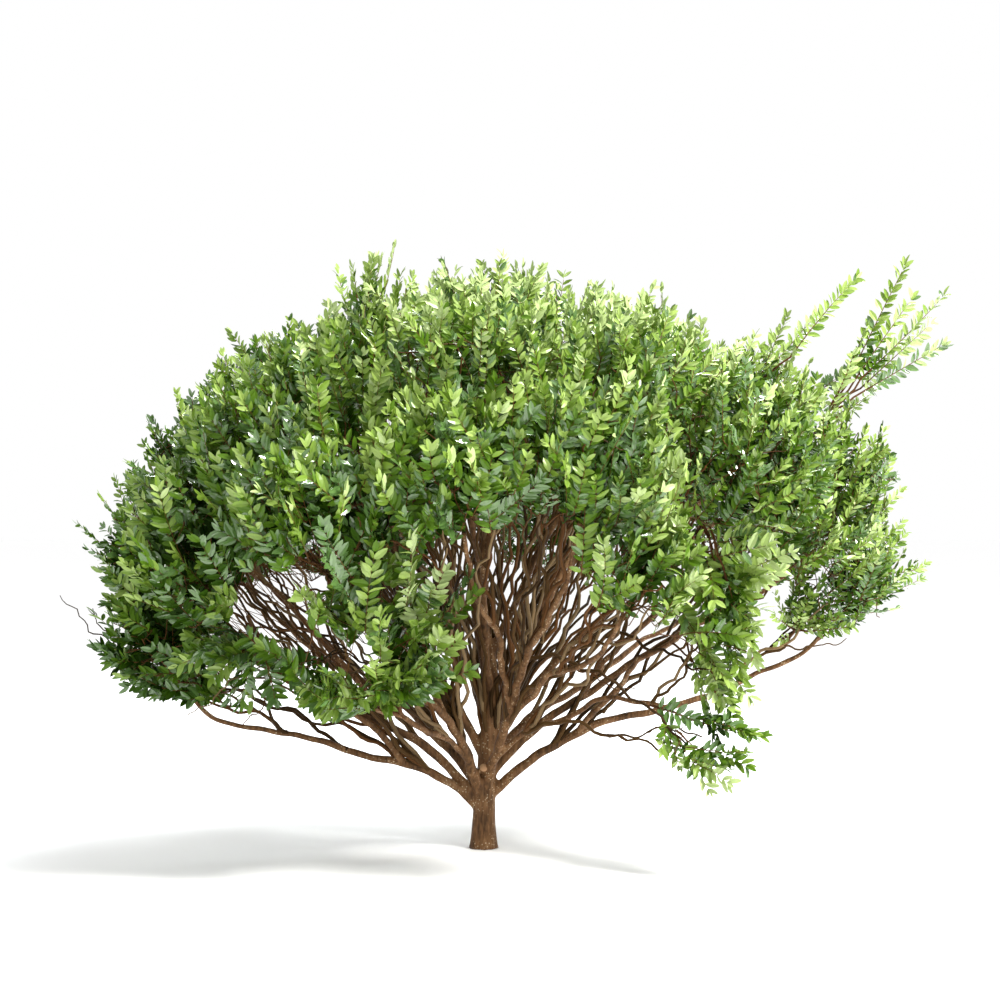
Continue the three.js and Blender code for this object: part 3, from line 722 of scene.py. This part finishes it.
def leafMesh(leaves):
    # foot + L u along + W/2 v across + (fold W/2 |v| - curl L u^2) normal
    corners, faces = leafCorners()
    across = unit(np.cross(leaves["facing"], leaves["along"]))
    normal = np.cross(leaves["along"], across)
    length = leaves["length"][:, None, None]
    half = length * leaf["width"] / leaf["length"] / 2
    u, v = corners[None, :, 0:1], corners[None, :, 1:2]
    lift = leaf["fold"] * half * np.abs(v) - leaf["curl"] * length * u ** 2
    points = (leaves["foot"][:, None] + length * u * leaves["along"][:, None]
              + half * v * across[:, None] + lift * normal[:, None])
    tris = faces[None] + (np.arange(len(points)) * len(corners))[:, None, None]
    return points.reshape(-1, 3), tris.reshape(-1, 3)


# meshes
def meshObject(name, points, faceSets, materials, slots=None, smooth=False):
    # millimetres to metres, all faces put in at once
    mesh = bpy.data.meshes.new(name)
    loops = np.concatenate([faces.ravel() for faces in faceSets])
    sizes = np.concatenate([np.full(len(faces), faces.shape[1]) for faces in faceSets])
    mesh.vertices.add(len(points))
    mesh.vertices.foreach_set("co", (points * 0.001).astype(np.float32).ravel())
    mesh.loops.add(len(loops))
    mesh.loops.foreach_set("vertex_index", loops.astype(np.int32))
    mesh.polygons.add(len(sizes))
    mesh.polygons.foreach_set("loop_start", (np.cumsum(sizes) - sizes).astype(np.int32))
    for material in materials:
        mesh.materials.append(material)
    if slots is not None:
        mesh.polygons.foreach_set("material_index", slots.astype(np.int32))
    mesh.polygons.foreach_set("use_smooth", np.full(len(sizes), smooth))
    mesh.update(calc_edges=True)
    piece = bpy.data.objects.new(name, mesh)
    bpy.context.scene.collection.objects.link(piece)
    return piece


def tubes(paths, radii, sides, ends=(0.3, 0.6), relief=None, fullRelief=12):
    # rings of point + (r + relief)(cos a normal + sin a binormal), with a pole past each end by ends * r
    count, rings = paths.shape[:2]
    tangents = unit(np.gradient(paths, axis=1))
    chord = unit(paths[:, -1] - paths[:, 0])
    reference = np.cross(chord, np.where(np.abs(chord[:, 2:3]) > 0.95, np.array([1.0, 0, 0]), upward))
    reference = unit(reference)[:, None]
    normals = unit(reference - tangents * np.sum(reference * tangents, axis=-1, keepdims=True))
    binormals = np.cross(tangents, normals)
    angle = np.arange(sides) * 2 * math.pi / sides
    spokes = normals[:, :, None] * np.cos(angle)[:, None] + binormals[:, :, None] * np.sin(angle)[:, None]
    shell = paths[:, :, None] + spokes * radii[:, :, None, None]
    if relief is not None:
        strength = np.minimum(1, radii / fullRelief)[:, :, None, None]
        shell = shell + spokes * strength * relief(shell)[..., None]
    poles = np.stack([paths[:, 0] - tangents[:, 0] * radii[:, :1] * ends[0],
                      paths[:, -1] + tangents[:, -1] * radii[:, -1:] * ends[1]], axis=1)
    points = np.concatenate([shell.reshape(count, -1, 3), poles], axis=1)
    ring = np.arange(rings - 1)[:, None] * sides
    i = np.arange(sides)[None, :]
    j = (i + 1) % sides
    quads = np.stack([ring + i, ring + j, ring + j + sides, ring + i + sides], axis=-1).reshape(-1, 4)
    last = (rings - 1) * sides
    south, north = rings * sides, rings * sides + 1
    i, j = i.ravel(), j.ravel()
    caps = np.concatenate([np.stack([j, i, np.full(sides, south)], axis=1),
                           np.stack([last + i, last + j, np.full(sides, north)], axis=1)])
    offset = (np.arange(count) * points.shape[1])[:, None, None]
    return points.reshape(-1, 3), (quads[None] + offset).reshape(-1, 4), (caps[None] + offset).reshape(-1, 3)


def joined(parts):
    # several point and face sets as one, each kind of face with its numbers moved up
    points, faceSets, base = [], None, 0
    for own, *faces in parts:
        moved = [f + base for f in faces]
        faceSets = moved if faceSets is None else [np.concatenate(pair) for pair in zip(faceSets, moved)]
        points.append(own)
        base += len(own)
    return np.concatenate(points), faceSets


# large primes that stir a grid place's three numbers, the seed and then their mixture
placePrimes = (73856093, 19349663, 83492791)
seedPrime, mixturePrime = 2654435761, 1274126177


def softNoise(points, cell, seed):
    # value noise, -1 to 1: random values on a grid of the cell's size, blended with 3t^2 - 2t^3
    place = points / cell
    low = np.floor(place).astype(np.int64)
    t = place - low
    t = t * t * (3 - 2 * t)
    total = 0.0
    for corner in range(8):
        step = np.array([corner & 1, corner >> 1 & 1, corner >> 2 & 1])
        spot = (low + step) * placePrimes
        mixed = spot[..., 0] ^ spot[..., 1] ^ spot[..., 2] ^ seed * seedPrime
        mixed = (mixed ^ (mixed >> 13)) * mixturePrime & 0x7FFFFFFF
        value = ((mixed ^ (mixed >> 16)) & 0xFFFF) / 32767.5 - 1
        weight = np.prod(np.where(step == 1, t, 1 - t), axis=-1)
        total = total + value * weight
    return total


# materials
class Flow:
    # a socket that adds a Math node where it is added to or multiplied
    def __init__(self, tree, socket):
        self.tree, self.socket = tree, socket

    def into(self, socket):
        self.tree.links.new(self.socket, socket)

    def maths(self, operation, other):
        # the Math node of this socket and of another one, or a number
        node = self.tree.nodes.new("ShaderNodeMath")
        node.operation = operation
        for socket, value in zip(node.inputs, (self, other)):
            plug(value, socket)
        return Flow(self.tree, node.outputs[0])

    def __add__(self, other):
        return self.maths("ADD", other)

    def __mul__(self, other):
        return self.maths("MULTIPLY", other)

    __radd__ = __add__
    __rmul__ = __mul__


def plug(value, socket):
    # a link where the value is a flow, and otherwise the socket's own value
    if isinstance(value, Flow):
        value.into(socket)
    else:
        socket.default_value = value


class Finish:
    # a material under way, with one method for every other node
    def __init__(self, name, roughness, gloss):
        self.material = bpy.data.materials.new(name)
        self.material.use_nodes = True
        self.tree = self.material.node_tree
        self.sockets = self.tree.nodes["Principled BSDF"].inputs
        self.sockets["Roughness"].default_value = roughness
        self.sockets["Specular IOR Level"].default_value = gloss

    def node(self, kind, settings, sockets, output=0):
        # any other node: its settings first, then the values or links of its sockets; one output goes on
        made = self.tree.nodes.new(kind)
        for key, value in settings.items():
            if key == "stops":
                ramp = made.color_ramp
                while len(ramp.elements) < len(value):
                    ramp.elements.new(0.5)
                for element, (place, shade) in zip(ramp.elements, value):
                    element.position, element.color = place, (*shade, 1)
            else:
                setattr(made, key, value)
        for key, value in sockets.items():
            plug(value, made.inputs[key])
        return Flow(self.tree, made.outputs[output])


def plainFinish(name, shade, roughness=0.5, gloss=0.08):
    # one colour, one roughness and one gloss all over
    finish = Finish(name, roughness, gloss)
    finish.sockets["Base Color"].default_value = (*shade, 1)
    return finish.material


# old bark: shades and where they stand in the tone, the scales of its noises, and how deep its relief looks
oldBarkLook = {
    "stops": ((0.36, (0.042, 0.019, 0.005)), (0.52, (0.136, 0.064, 0.023)), (0.68, (0.246, 0.138, 0.064))),
    "speck": (0.55, 0.44, 0.28), "speckShare": 0.7, "speckEdge": (0.30, 0.16), "speckPlaces": (0.46, 0.58),
    "roughness": 0.66, "gloss": 0.22, "drawnOut": 0.2, "streakShare": 0.55, "streakRoughness": 0.55,
    "streakScale": 200, "blotchScale": 26, "corkScale": 190, "relief": 0.4, "reliefDepth": 0.0012,
    "speckRelief": 0.3,
}


def barkFinish(name, look):
    # tone = share * streaks + (1 - share) * blotches; specks = middles of cork cells * light blotches
    finish = Finish(name, look["roughness"], look["gloss"])
    place = finish.node("ShaderNodeTexCoord", {}, {}, "Object")
    drawnOut = finish.node("ShaderNodeMapping", {}, {"Vector": place, "Scale": (1, 1, look["drawnOut"])})
    streaks = finish.node("ShaderNodeTexNoise", {}, {
        "Vector": drawnOut, "Scale": look["streakScale"], "Detail": 5, "Roughness": look["streakRoughness"]})
    blotches = finish.node("ShaderNodeTexNoise", {}, {
        "Vector": place, "Scale": look["blotchScale"], "Detail": 3})
    cork = finish.node("ShaderNodeTexVoronoi", {}, {
        "Vector": place, "Scale": look["corkScale"], "Randomness": 1})
    near, patches = [
        finish.node("ShaderNodeMapRange", {}, {"Value": value, "From Min": low, "From Max": high})
        for value, (low, high) in ((cork, look["speckEdge"]), (blotches, look["speckPlaces"]))]
    specks = near * patches
    tone = streaks * look["streakShare"] + blotches * (1 - look["streakShare"])
    ramp = finish.node("ShaderNodeValToRGB", {"stops": look["stops"]}, {"Fac": tone})
    shade = finish.node("ShaderNodeMix", {"data_type": "RGBA"},
                        {0: specks * look["speckShare"], 6: ramp, 7: (*look["speck"], 1)}, 2)
    shade.into(finish.sockets["Base Color"])
    height = streaks + specks * look["speckRelief"]
    bump = finish.node("ShaderNodeBump", {}, {
        "Strength": look["relief"], "Distance": look["reliefDepth"], "Height": height})
    bump.into(finish.sockets["Normal"])
    return finish.material


# leaves, lit and shaded copies from painted shade in the heart of the crown to painted light at the sunlit
# tips, and one paler grey-green with a painted sheen: shade, roughness, gloss
leafTints = {
    "leafDeepShade": ((0.012, 0.032, 0.002), 0.5, 0.05),
    "leafShaded": ((0.026, 0.065, 0.003), 0.42, 0.05),
    # a paler grey-green base colour as a painted sheen, beside the real gloss of its low roughness and high
    # specular
    "leafSheen": ((0.088, 0.172, 0.042), 0.18, 0.9),
    "leafMiddle": ((0.074, 0.153, 0.008), 0.34, 0.2),
    "leafFreshAndLit": ((0.160, 0.262, 0.030), 0.3, 0.45),
    "leafYoungAndLit": ((0.272, 0.388, 0.085), 0.32, 0.5),
    "leafSunlitTip": ((0.400, 0.510, 0.200), 0.34, 0.55),
}
leafMaterials = [plainFinish(name, *values) for name, values in leafTints.items()]
oldBark = barkFinish("barkOld", oldBarkLook)
branchTints = {
    "branchDark": (0.036, 0.018, 0.005), "branchBrown": (0.070, 0.036, 0.011),
    "branchRed": (0.094, 0.040, 0.012), "branchPale": (0.180, 0.118, 0.058),
}
branchBarks = [plainFinish(name, shade) for name, shade in branchTints.items()]
twigBark = plainFinish("twigRed", (0.085, 0.035, 0.012))
shootBark = plainFinish("shootRed", (0.130, 0.062, 0.020))
cutWood = plainFinish("cutWood", (0.40, 0.23, 0.12), 0.7)
print("finishes made")

# wood
wood = {
    "rings": 90, "sides": 12, "taper": 1.3, "collar": 0.3, "collarReach": 2.2,
    "kinksFrom": 60, "kinksUntil": 8, "kinksAcross": (1.7, 19, 1, 0.6, 8.3, 2),
    "kinksUp": (1.5, 23, 3, 0.5, 9.7, 1), "coreHeight": 0.46, "coreReach": 120, "coreRings": 150,
    "coreSides": (40, 20), "footSpread": 0.1, "footSpreadHeight": 14, "voxel": 2.7, "soften": 0.5,
    "softenTimes": 3, "upperSides": 18, "overlap": 0.012,
}
# the bark's relief: drawn out to this share up the limb, size, number of the pattern, depth
reliefRows = ((0.28, 5.0, 3, 0.3), (0.28, 2.4, 5, 0.18), (0.1, 11.0, 9, 0.9), (1, 24.0, 7, 0.7))
# a sawn-off stub low on the front, with a paler cut face
stub = {
    "foot": np.array([-3.0, -8.0, 140.0]), "way": np.array([0.1, -0.95, 0.3]), "length": 30, "footRadius": 9,
    "radius": 6.5, "sides": 20, "faceFrom": -2.0, "faceTo": 1.2, "faceRadii": (0.6, 0.6, -0.4),
}


def stubCut():
    # a thin disc over the end of the stub, a little wider than it
    end = stub["foot"] + stub["way"] * stub["length"]
    path = end + unit(stub["way"]) * np.linspace(stub["faceFrom"], stub["faceTo"], 3)[:, None]
    return tubes(path[None], stub["radius"] + np.array([stub["faceRadii"]]), stub["sides"], (0, 0.02))


def barkRelief(points):
    # ridges, fine ridges, furrows and knots: the sum of depth * noise over the rows, in millimetres
    return sum(softNoise(points * np.array([1, 1, drawnOut]), cell, seed) * depth
               for drawnOut, cell, seed, depth in reliefRows)


def kinksOf(run, phase, wave, turn, share, shortWave, shortTurn):
    # sin(run / wave + turn phase) + share sin(run / shortWave + shortTurn phase)
    return np.sin(run / wave + turn * phase) + share * np.sin(run / shortWave + shortTurn * phase)


def boughPaths():
    # every bough, with small kinks of its own, and a collar where it leaves its parent
    shares = np.linspace(0, 1, wood["rings"])
    thinning = 1 - (1 - shares) ** (wood["taper"] / bough["taper"])
    paths = np.array([limbs[name]["at"](shares) for name in mainLimbs])
    radii = np.array([limbs[name]["radius"](thinning) for name in mainLimbs])
    run = shares * np.array([limbs[name]["length"] for name in mainLimbs])[:, None]
    collar = 1 + wood["collar"] * np.exp(-run / (radii[:, :1] * wood["collarReach"]))
    side = unit(np.cross(paths[:, -1] - paths[:, 0], upward))[:, None]
    phase = np.arange(len(mainLimbs))[:, None] * goldenTurn
    fade = np.minimum(1, run / wood["kinksFrom"]) * np.minimum(1, (1 - shares) * wood["kinksUntil"])
    for way, (size, *kinks) in ((side, wood["kinksAcross"]), (upward, wood["kinksUp"])):
        paths = paths + way * (fade * kinksOf(run, phase, *kinks))[..., None] * size
    return paths, radii * collar, run


def readOut(rows, key, width, kind):
    # one property of all vertices, normals or loops as an array
    values = np.empty(len(rows) * width, kind)
    rows.foreach_get(key, values)
    return values.reshape(-1, width) if width > 1 else values


def coreOf(paths, radii, run):
    # the leader's lower part and the first stretch of each bough as one fused skin, moved out by the relief
    shares = np.linspace(0, wood["coreHeight"], wood["coreRings"])
    spread = 1 + wood["footSpread"] * np.exp(-shares * leader["height"] / wood["footSpreadHeight"])
    leaderSides, boughSides = wood["coreSides"]
    shells = [tubes(leaderPath(shares)[None], (leaderRadius(shares) * spread)[None], leaderSides, (0, 0.4))]
    for path, thick, length in zip(paths, radii, run):
        last = int(np.searchsorted(length, wood["coreReach"])) + 1
        shells.append(tubes(path[None, :last], thick[None, :last], boughSides))
    shells.append(tubes(stub["foot"] + stub["way"] * np.linspace(0, stub["length"], 6)[None, :, None],
                        np.linspace(stub["footRadius"], stub["radius"], 6)[None], stub["sides"], (0, 0)))
    rough = meshObject("coreShells", *joined(shells), [])
    fuse = rough.modifiers.new("fuse", "REMESH")
    fuse.mode, fuse.voxel_size = "VOXEL", wood["voxel"] * 0.001
    soften = rough.modifiers.new("soften", "SMOOTH")
    soften.factor, soften.iterations = wood["soften"], wood["softenTimes"]
    skin = rough.evaluated_get(bpy.context.evaluated_depsgraph_get()).to_mesh()
    corners = readOut(skin.vertices, "co", 3, np.float32).astype(float) * 1000
    normals = readOut(skin.vertex_normals, "vector", 3, np.float32)
    quads = readOut(skin.loops, "vertex_index", 1, np.int32).reshape(-1, 4).astype(np.int64)
    corners = corners + normals * barkRelief(corners)[:, None]
    corners[:, 2] = np.maximum(corners[:, 2], 0.0)
    bpy.data.objects.remove(rough)
    return corners, quads, np.zeros((0, 3), int)


paths, radii, run = boughPaths()
trunkShares = np.linspace(wood["coreHeight"] - wood["overlap"], 1, wood["rings"])
upper = tubes(leaderPath(trunkShares)[None], leaderRadius(trunkShares)[None], wood["upperSides"],
              relief=barkRelief)
points, faceSets = joined([coreOf(paths, radii, run), upper, stubCut()])
cutFaces = 2 * stub["sides"]  # of either kind: two rings of quads, and two caps
slots = np.concatenate([np.arange(len(faces)) >= len(faces) - cutFaces for faces in faceSets])
trunkPiece = meshObject("trunkBark", points, faceSets, [oldBark, cutWood], slots, smooth=True)
outer = []
for path, thick, length in zip(paths, radii, run):
    first = int(np.searchsorted(length, wood["coreReach"])) - 2
    outer.append(tubes(path[None, first:], thick[None, first:], wood["sides"], relief=barkRelief))
boughsPiece = meshObject("boughsBark", *joined(outer), [oldBark], smooth=True)
print("bough and trunk faces:", len(boughsPiece.data.polygons), len(trunkPiece.data.polygons))

# finer branches: a collar at each fork, slight knobs, and the tint of each stem in turn
branchLook = {
    "collar": 0.45, "collarReach": 9, "knobs": 0.1, "knobWaves": (6.5, 17),
    "tints": (0, 1, 2, 1, 3, 2, 1, 0, 2, 3),
}


def branchSet(grown, sides):
    # radius * (1 + collar exp(-run / reach)) * (1 + knobs sin(run / short + order) sin(run / long))
    paths, radii = arraysOf(grown)
    run = lengths(np.diff(paths, axis=1, prepend=paths[:, :1])).cumsum(axis=1)
    short, long = branchLook["knobWaves"]
    knobs = (1 + branchLook["knobs"] * np.sin(run / short + np.arange(len(paths))[:, None])
             * np.sin(run / long))
    collar = 1 + branchLook["collar"] * np.exp(-run / branchLook["collarReach"])
    shells = tubes(paths, radii * collar * knobs, sides)
    tint = np.array(branchLook["tints"])[np.arange(len(paths)) * 7 % len(branchLook["tints"])]
    return shells, [np.repeat(tint, len(faces) // len(paths)) for faces in shells[1:]]


def branchPiece():
    # all the finer stems as one piece, the thicker sets with six sides
    sets = [branchSet(risers, 6), branchSet(branches, 5), branchSet(bareTwigs, 5), branchSet(bendingStems, 6)]
    slots = np.concatenate([np.concatenate([tints[kind] for _, tints in sets]) for kind in (0, 1)])
    return meshObject("fineBranches", *joined([shells for shells, _ in sets]), branchBarks, slots,
                      smooth=True)


def twigPiece(sprigSets):
    # twigs, the leafless lower parts of the long shoots, and the stem of every sprig, paler than these
    stalks = [tubes(*arraysOf(sum(twigs.values(), [])), 3),
              tubes(*arraysOf(sum(shoots.values(), []), leafyRing + 2), 5)]
    count = [sum(len(shells[kind]) for shells in stalks) for kind in (1, 2)]
    share = np.linspace(0, sprig["stemEnds"], sprig["stemRings"])[None]
    for sprigs in sprigSets:
        path = shootPoints(sprigs, np.repeat(share, len(sprigs["length"]), axis=0))
        thick = sprigs["thick"][:, None]
        stalks.append(tubes(path, thick + (sprig["tipRadius"] - thick) * share, 3))
    points, faceSets = joined(stalks)
    slots = np.concatenate([np.arange(len(faces)) >= own for faces, own in zip(faceSets, count)])
    return meshObject("fineTwigs", points, faceSets, [twigBark, shootBark], slots, smooth=True)


branchesPiece = branchPiece()
sprigSets = [(name, sprigsOf(name, 40 + order)) for order, name in enumerate(twigs)]
sprigSets += [(name, shootSprigsOf(name, 140 + order)) for order, name in enumerate(shoots)]
twigsPiece = twigPiece([own for _, own in sprigSets])
print("sprigs:", sum(len(own["length"]) for _, own in sprigSets), "twig faces:",
      len(twigsPiece.data.polygons))

# leaves; each sprig's chance, times a number, gives it further chances in its decimals
# towards and from: the way to the light and the height it is taken from; litSide paints light on the side
# towards it, deeper paints shade deep in the crown, and the sheen keys deal out the painted sheen
shading = {
    "towards": unit(np.array([0.6, -0.35, 1.0])), "from": 450, "atSkin": 3.7, "deeper": 4.6, "litSide": 0.9,
    "perSprig": 2.3, "perLeaf": 0.5, "youngFrom": 0.62, "younger": 0.9, "youngChance": (7.7, 0.5),
    "sheenTint": 2, "sheenChance": (13.7, 0.13), "leafSheenChance": 0.06,
}


def tintsOf(sprigs, leaves):
    # 0 painted deep shade to 6 painted sunlit tip: atSkin - deeper * depth + litSide * lit + chances + the
    # mass's painted light and shade, so depth in the crown paints shade and the side towards the light
    # paints light; lighter at young tips, and some with a painted sheen
    owner = leaves["sprig"]
    young, shines = [((sprigs["chance"] * times % 1.0) < share)[owner]
                     for times, share in (shading["youngChance"], shading["sheenChance"])]
    lit = unit(leaves["foot"] - upward * shading["from"]) @ shading["towards"]
    deep = np.clip(np.log(crownField(leaves["foot"])) / crown["sharpness"], 0, 1)
    ownTone = ((sprigs["chance"] - 0.5) * shading["perSprig"])[owner]
    tone = (shading["atSkin"] - shading["deeper"] * deep + shading["litSide"] * lit
            + ownTone + sprigs["lighter"])
    spread = np.random.default_rng(sprigs["seed"])
    tone = tone + spread.normal(0, shading["perLeaf"], len(owner))
    young = young & (leaves["share"] > shading["youngFrom"])
    last = len(leafTints) - 1
    tone = np.clip(np.round(tone + shading["younger"] * young), 0, last)
    shines = shines | (spread.random(len(owner)) < shading["leafSheenChance"])
    return np.where(shines & (tone > 1) & (tone < last), shading["sheenTint"], tone).astype(int)


leafFaces = len(leafCorners()[1])
leafPieces = {}
for part in ("left", "front", "right", "crown", "back"):
    own = [name for name in masses if masses[name]["part"] == part]
    shapes, slots = [], []
    for name, sprigs in sprigSets:
        if name in own:
            leaves = leavesOf(sprigs)
            shapes.append(leafMesh(leaves))
            slots.append(np.repeat(tintsOf(sprigs, leaves), leafFaces))
    points, faceSets = joined(shapes)
    leafPieces[part] = (
        meshObject(part + "Leaves", points, faceSets, leafMaterials, np.concatenate(slots)), own)
    print(part, "leaves:", len(faceSets[0]) // leafFaces)

# who replaces what
for piece, names in leafPieces.values():
    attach(piece, "root")
    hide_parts(*["foliage_" + name for name in names])
for piece in (twigsPiece, branchesPiece, boughsPiece, trunkPiece):
    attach(piece, "root")
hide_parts(*["bough_" + name for name in limbs if name != "trunk"])
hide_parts("trunk")

# floor, light and camera; each light's place, what it shines at, size, power and shade
studio = {
    "floorSize": 60.0, "floorShade": (0.995, 0.995, 0.995),
    "worldShade": (1.0, 1.0, 1.0), "worldStrength": 1.0,
    "keyLight": ((2.4, -2.2, 3.4), (0.1, 0, 0.6), 0.9, 300, (1.0, 0.98, 0.94)),
    "skyLight": ((0.8, 2.2, 3.6), (0, 0, 0.7), 2.2, 260, (0.92, 0.97, 1.0)),
    "cameraPlace": (0.029, -3.960, 0.626), "photoPixels": 1000, "pixelsPerSlope": 2200, "sensor": 36,
}
half = studio["floorSize"] * 500
corners = np.array([(-half, -half, 0), (half, -half, 0), (half, half, 0), (-half, half, 0)], float)
floor = meshObject("studioFloor", corners, [np.array([[0, 1, 2, 3]])],
                   [plainFinish("studioFloor", studio["floorShade"], 0.9, 0.5)])


def placed(name, data):
    # an object of the scene that holds a light or a camera
    holder = bpy.data.objects.new(name, data)
    bpy.context.scene.collection.objects.link(holder)
    return holder


for name in ("keyLight", "skyLight"):
    place, aim, size, power, shade = studio[name]
    lamp = bpy.data.lights.new(name, "AREA")
    lamp.shape, lamp.size, lamp.energy, lamp.color = "DISK", size, power, shade
    holder = placed(name, lamp)
    holder.location = place
    holder.rotation_euler = (Vector(aim) - Vector(place)).to_track_quat("-Z", "Y").to_euler()
world = bpy.data.worlds.new("studio")
world.use_nodes = True
world.node_tree.nodes["Background"].inputs["Color"].default_value = (*studio["worldShade"], 1)
world.node_tree.nodes["Background"].inputs["Strength"].default_value = studio["worldStrength"]
bpy.context.scene.world = world
bpy.context.scene.view_settings.view_transform = "Standard"

lens = bpy.data.cameras.new("photoCamera")
lens.sensor_width = studio["sensor"]
lens.lens = studio["pixelsPerSlope"] / studio["photoPixels"] * studio["sensor"]
viewer = placed("photoCamera", lens)
viewer.location = studio["cameraPlace"]
viewer.rotation_euler = (math.pi / 2, 0, 0)
bpy.context.scene.camera = viewer

pieces = (branchesPiece, boughsPiece, trunkPiece, twigsPiece, *[piece for piece, _ in leafPieces.values()])
print("triangles:", sum(len(piece.data.loops) - 2 * len(piece.data.polygons) for piece in pieces))
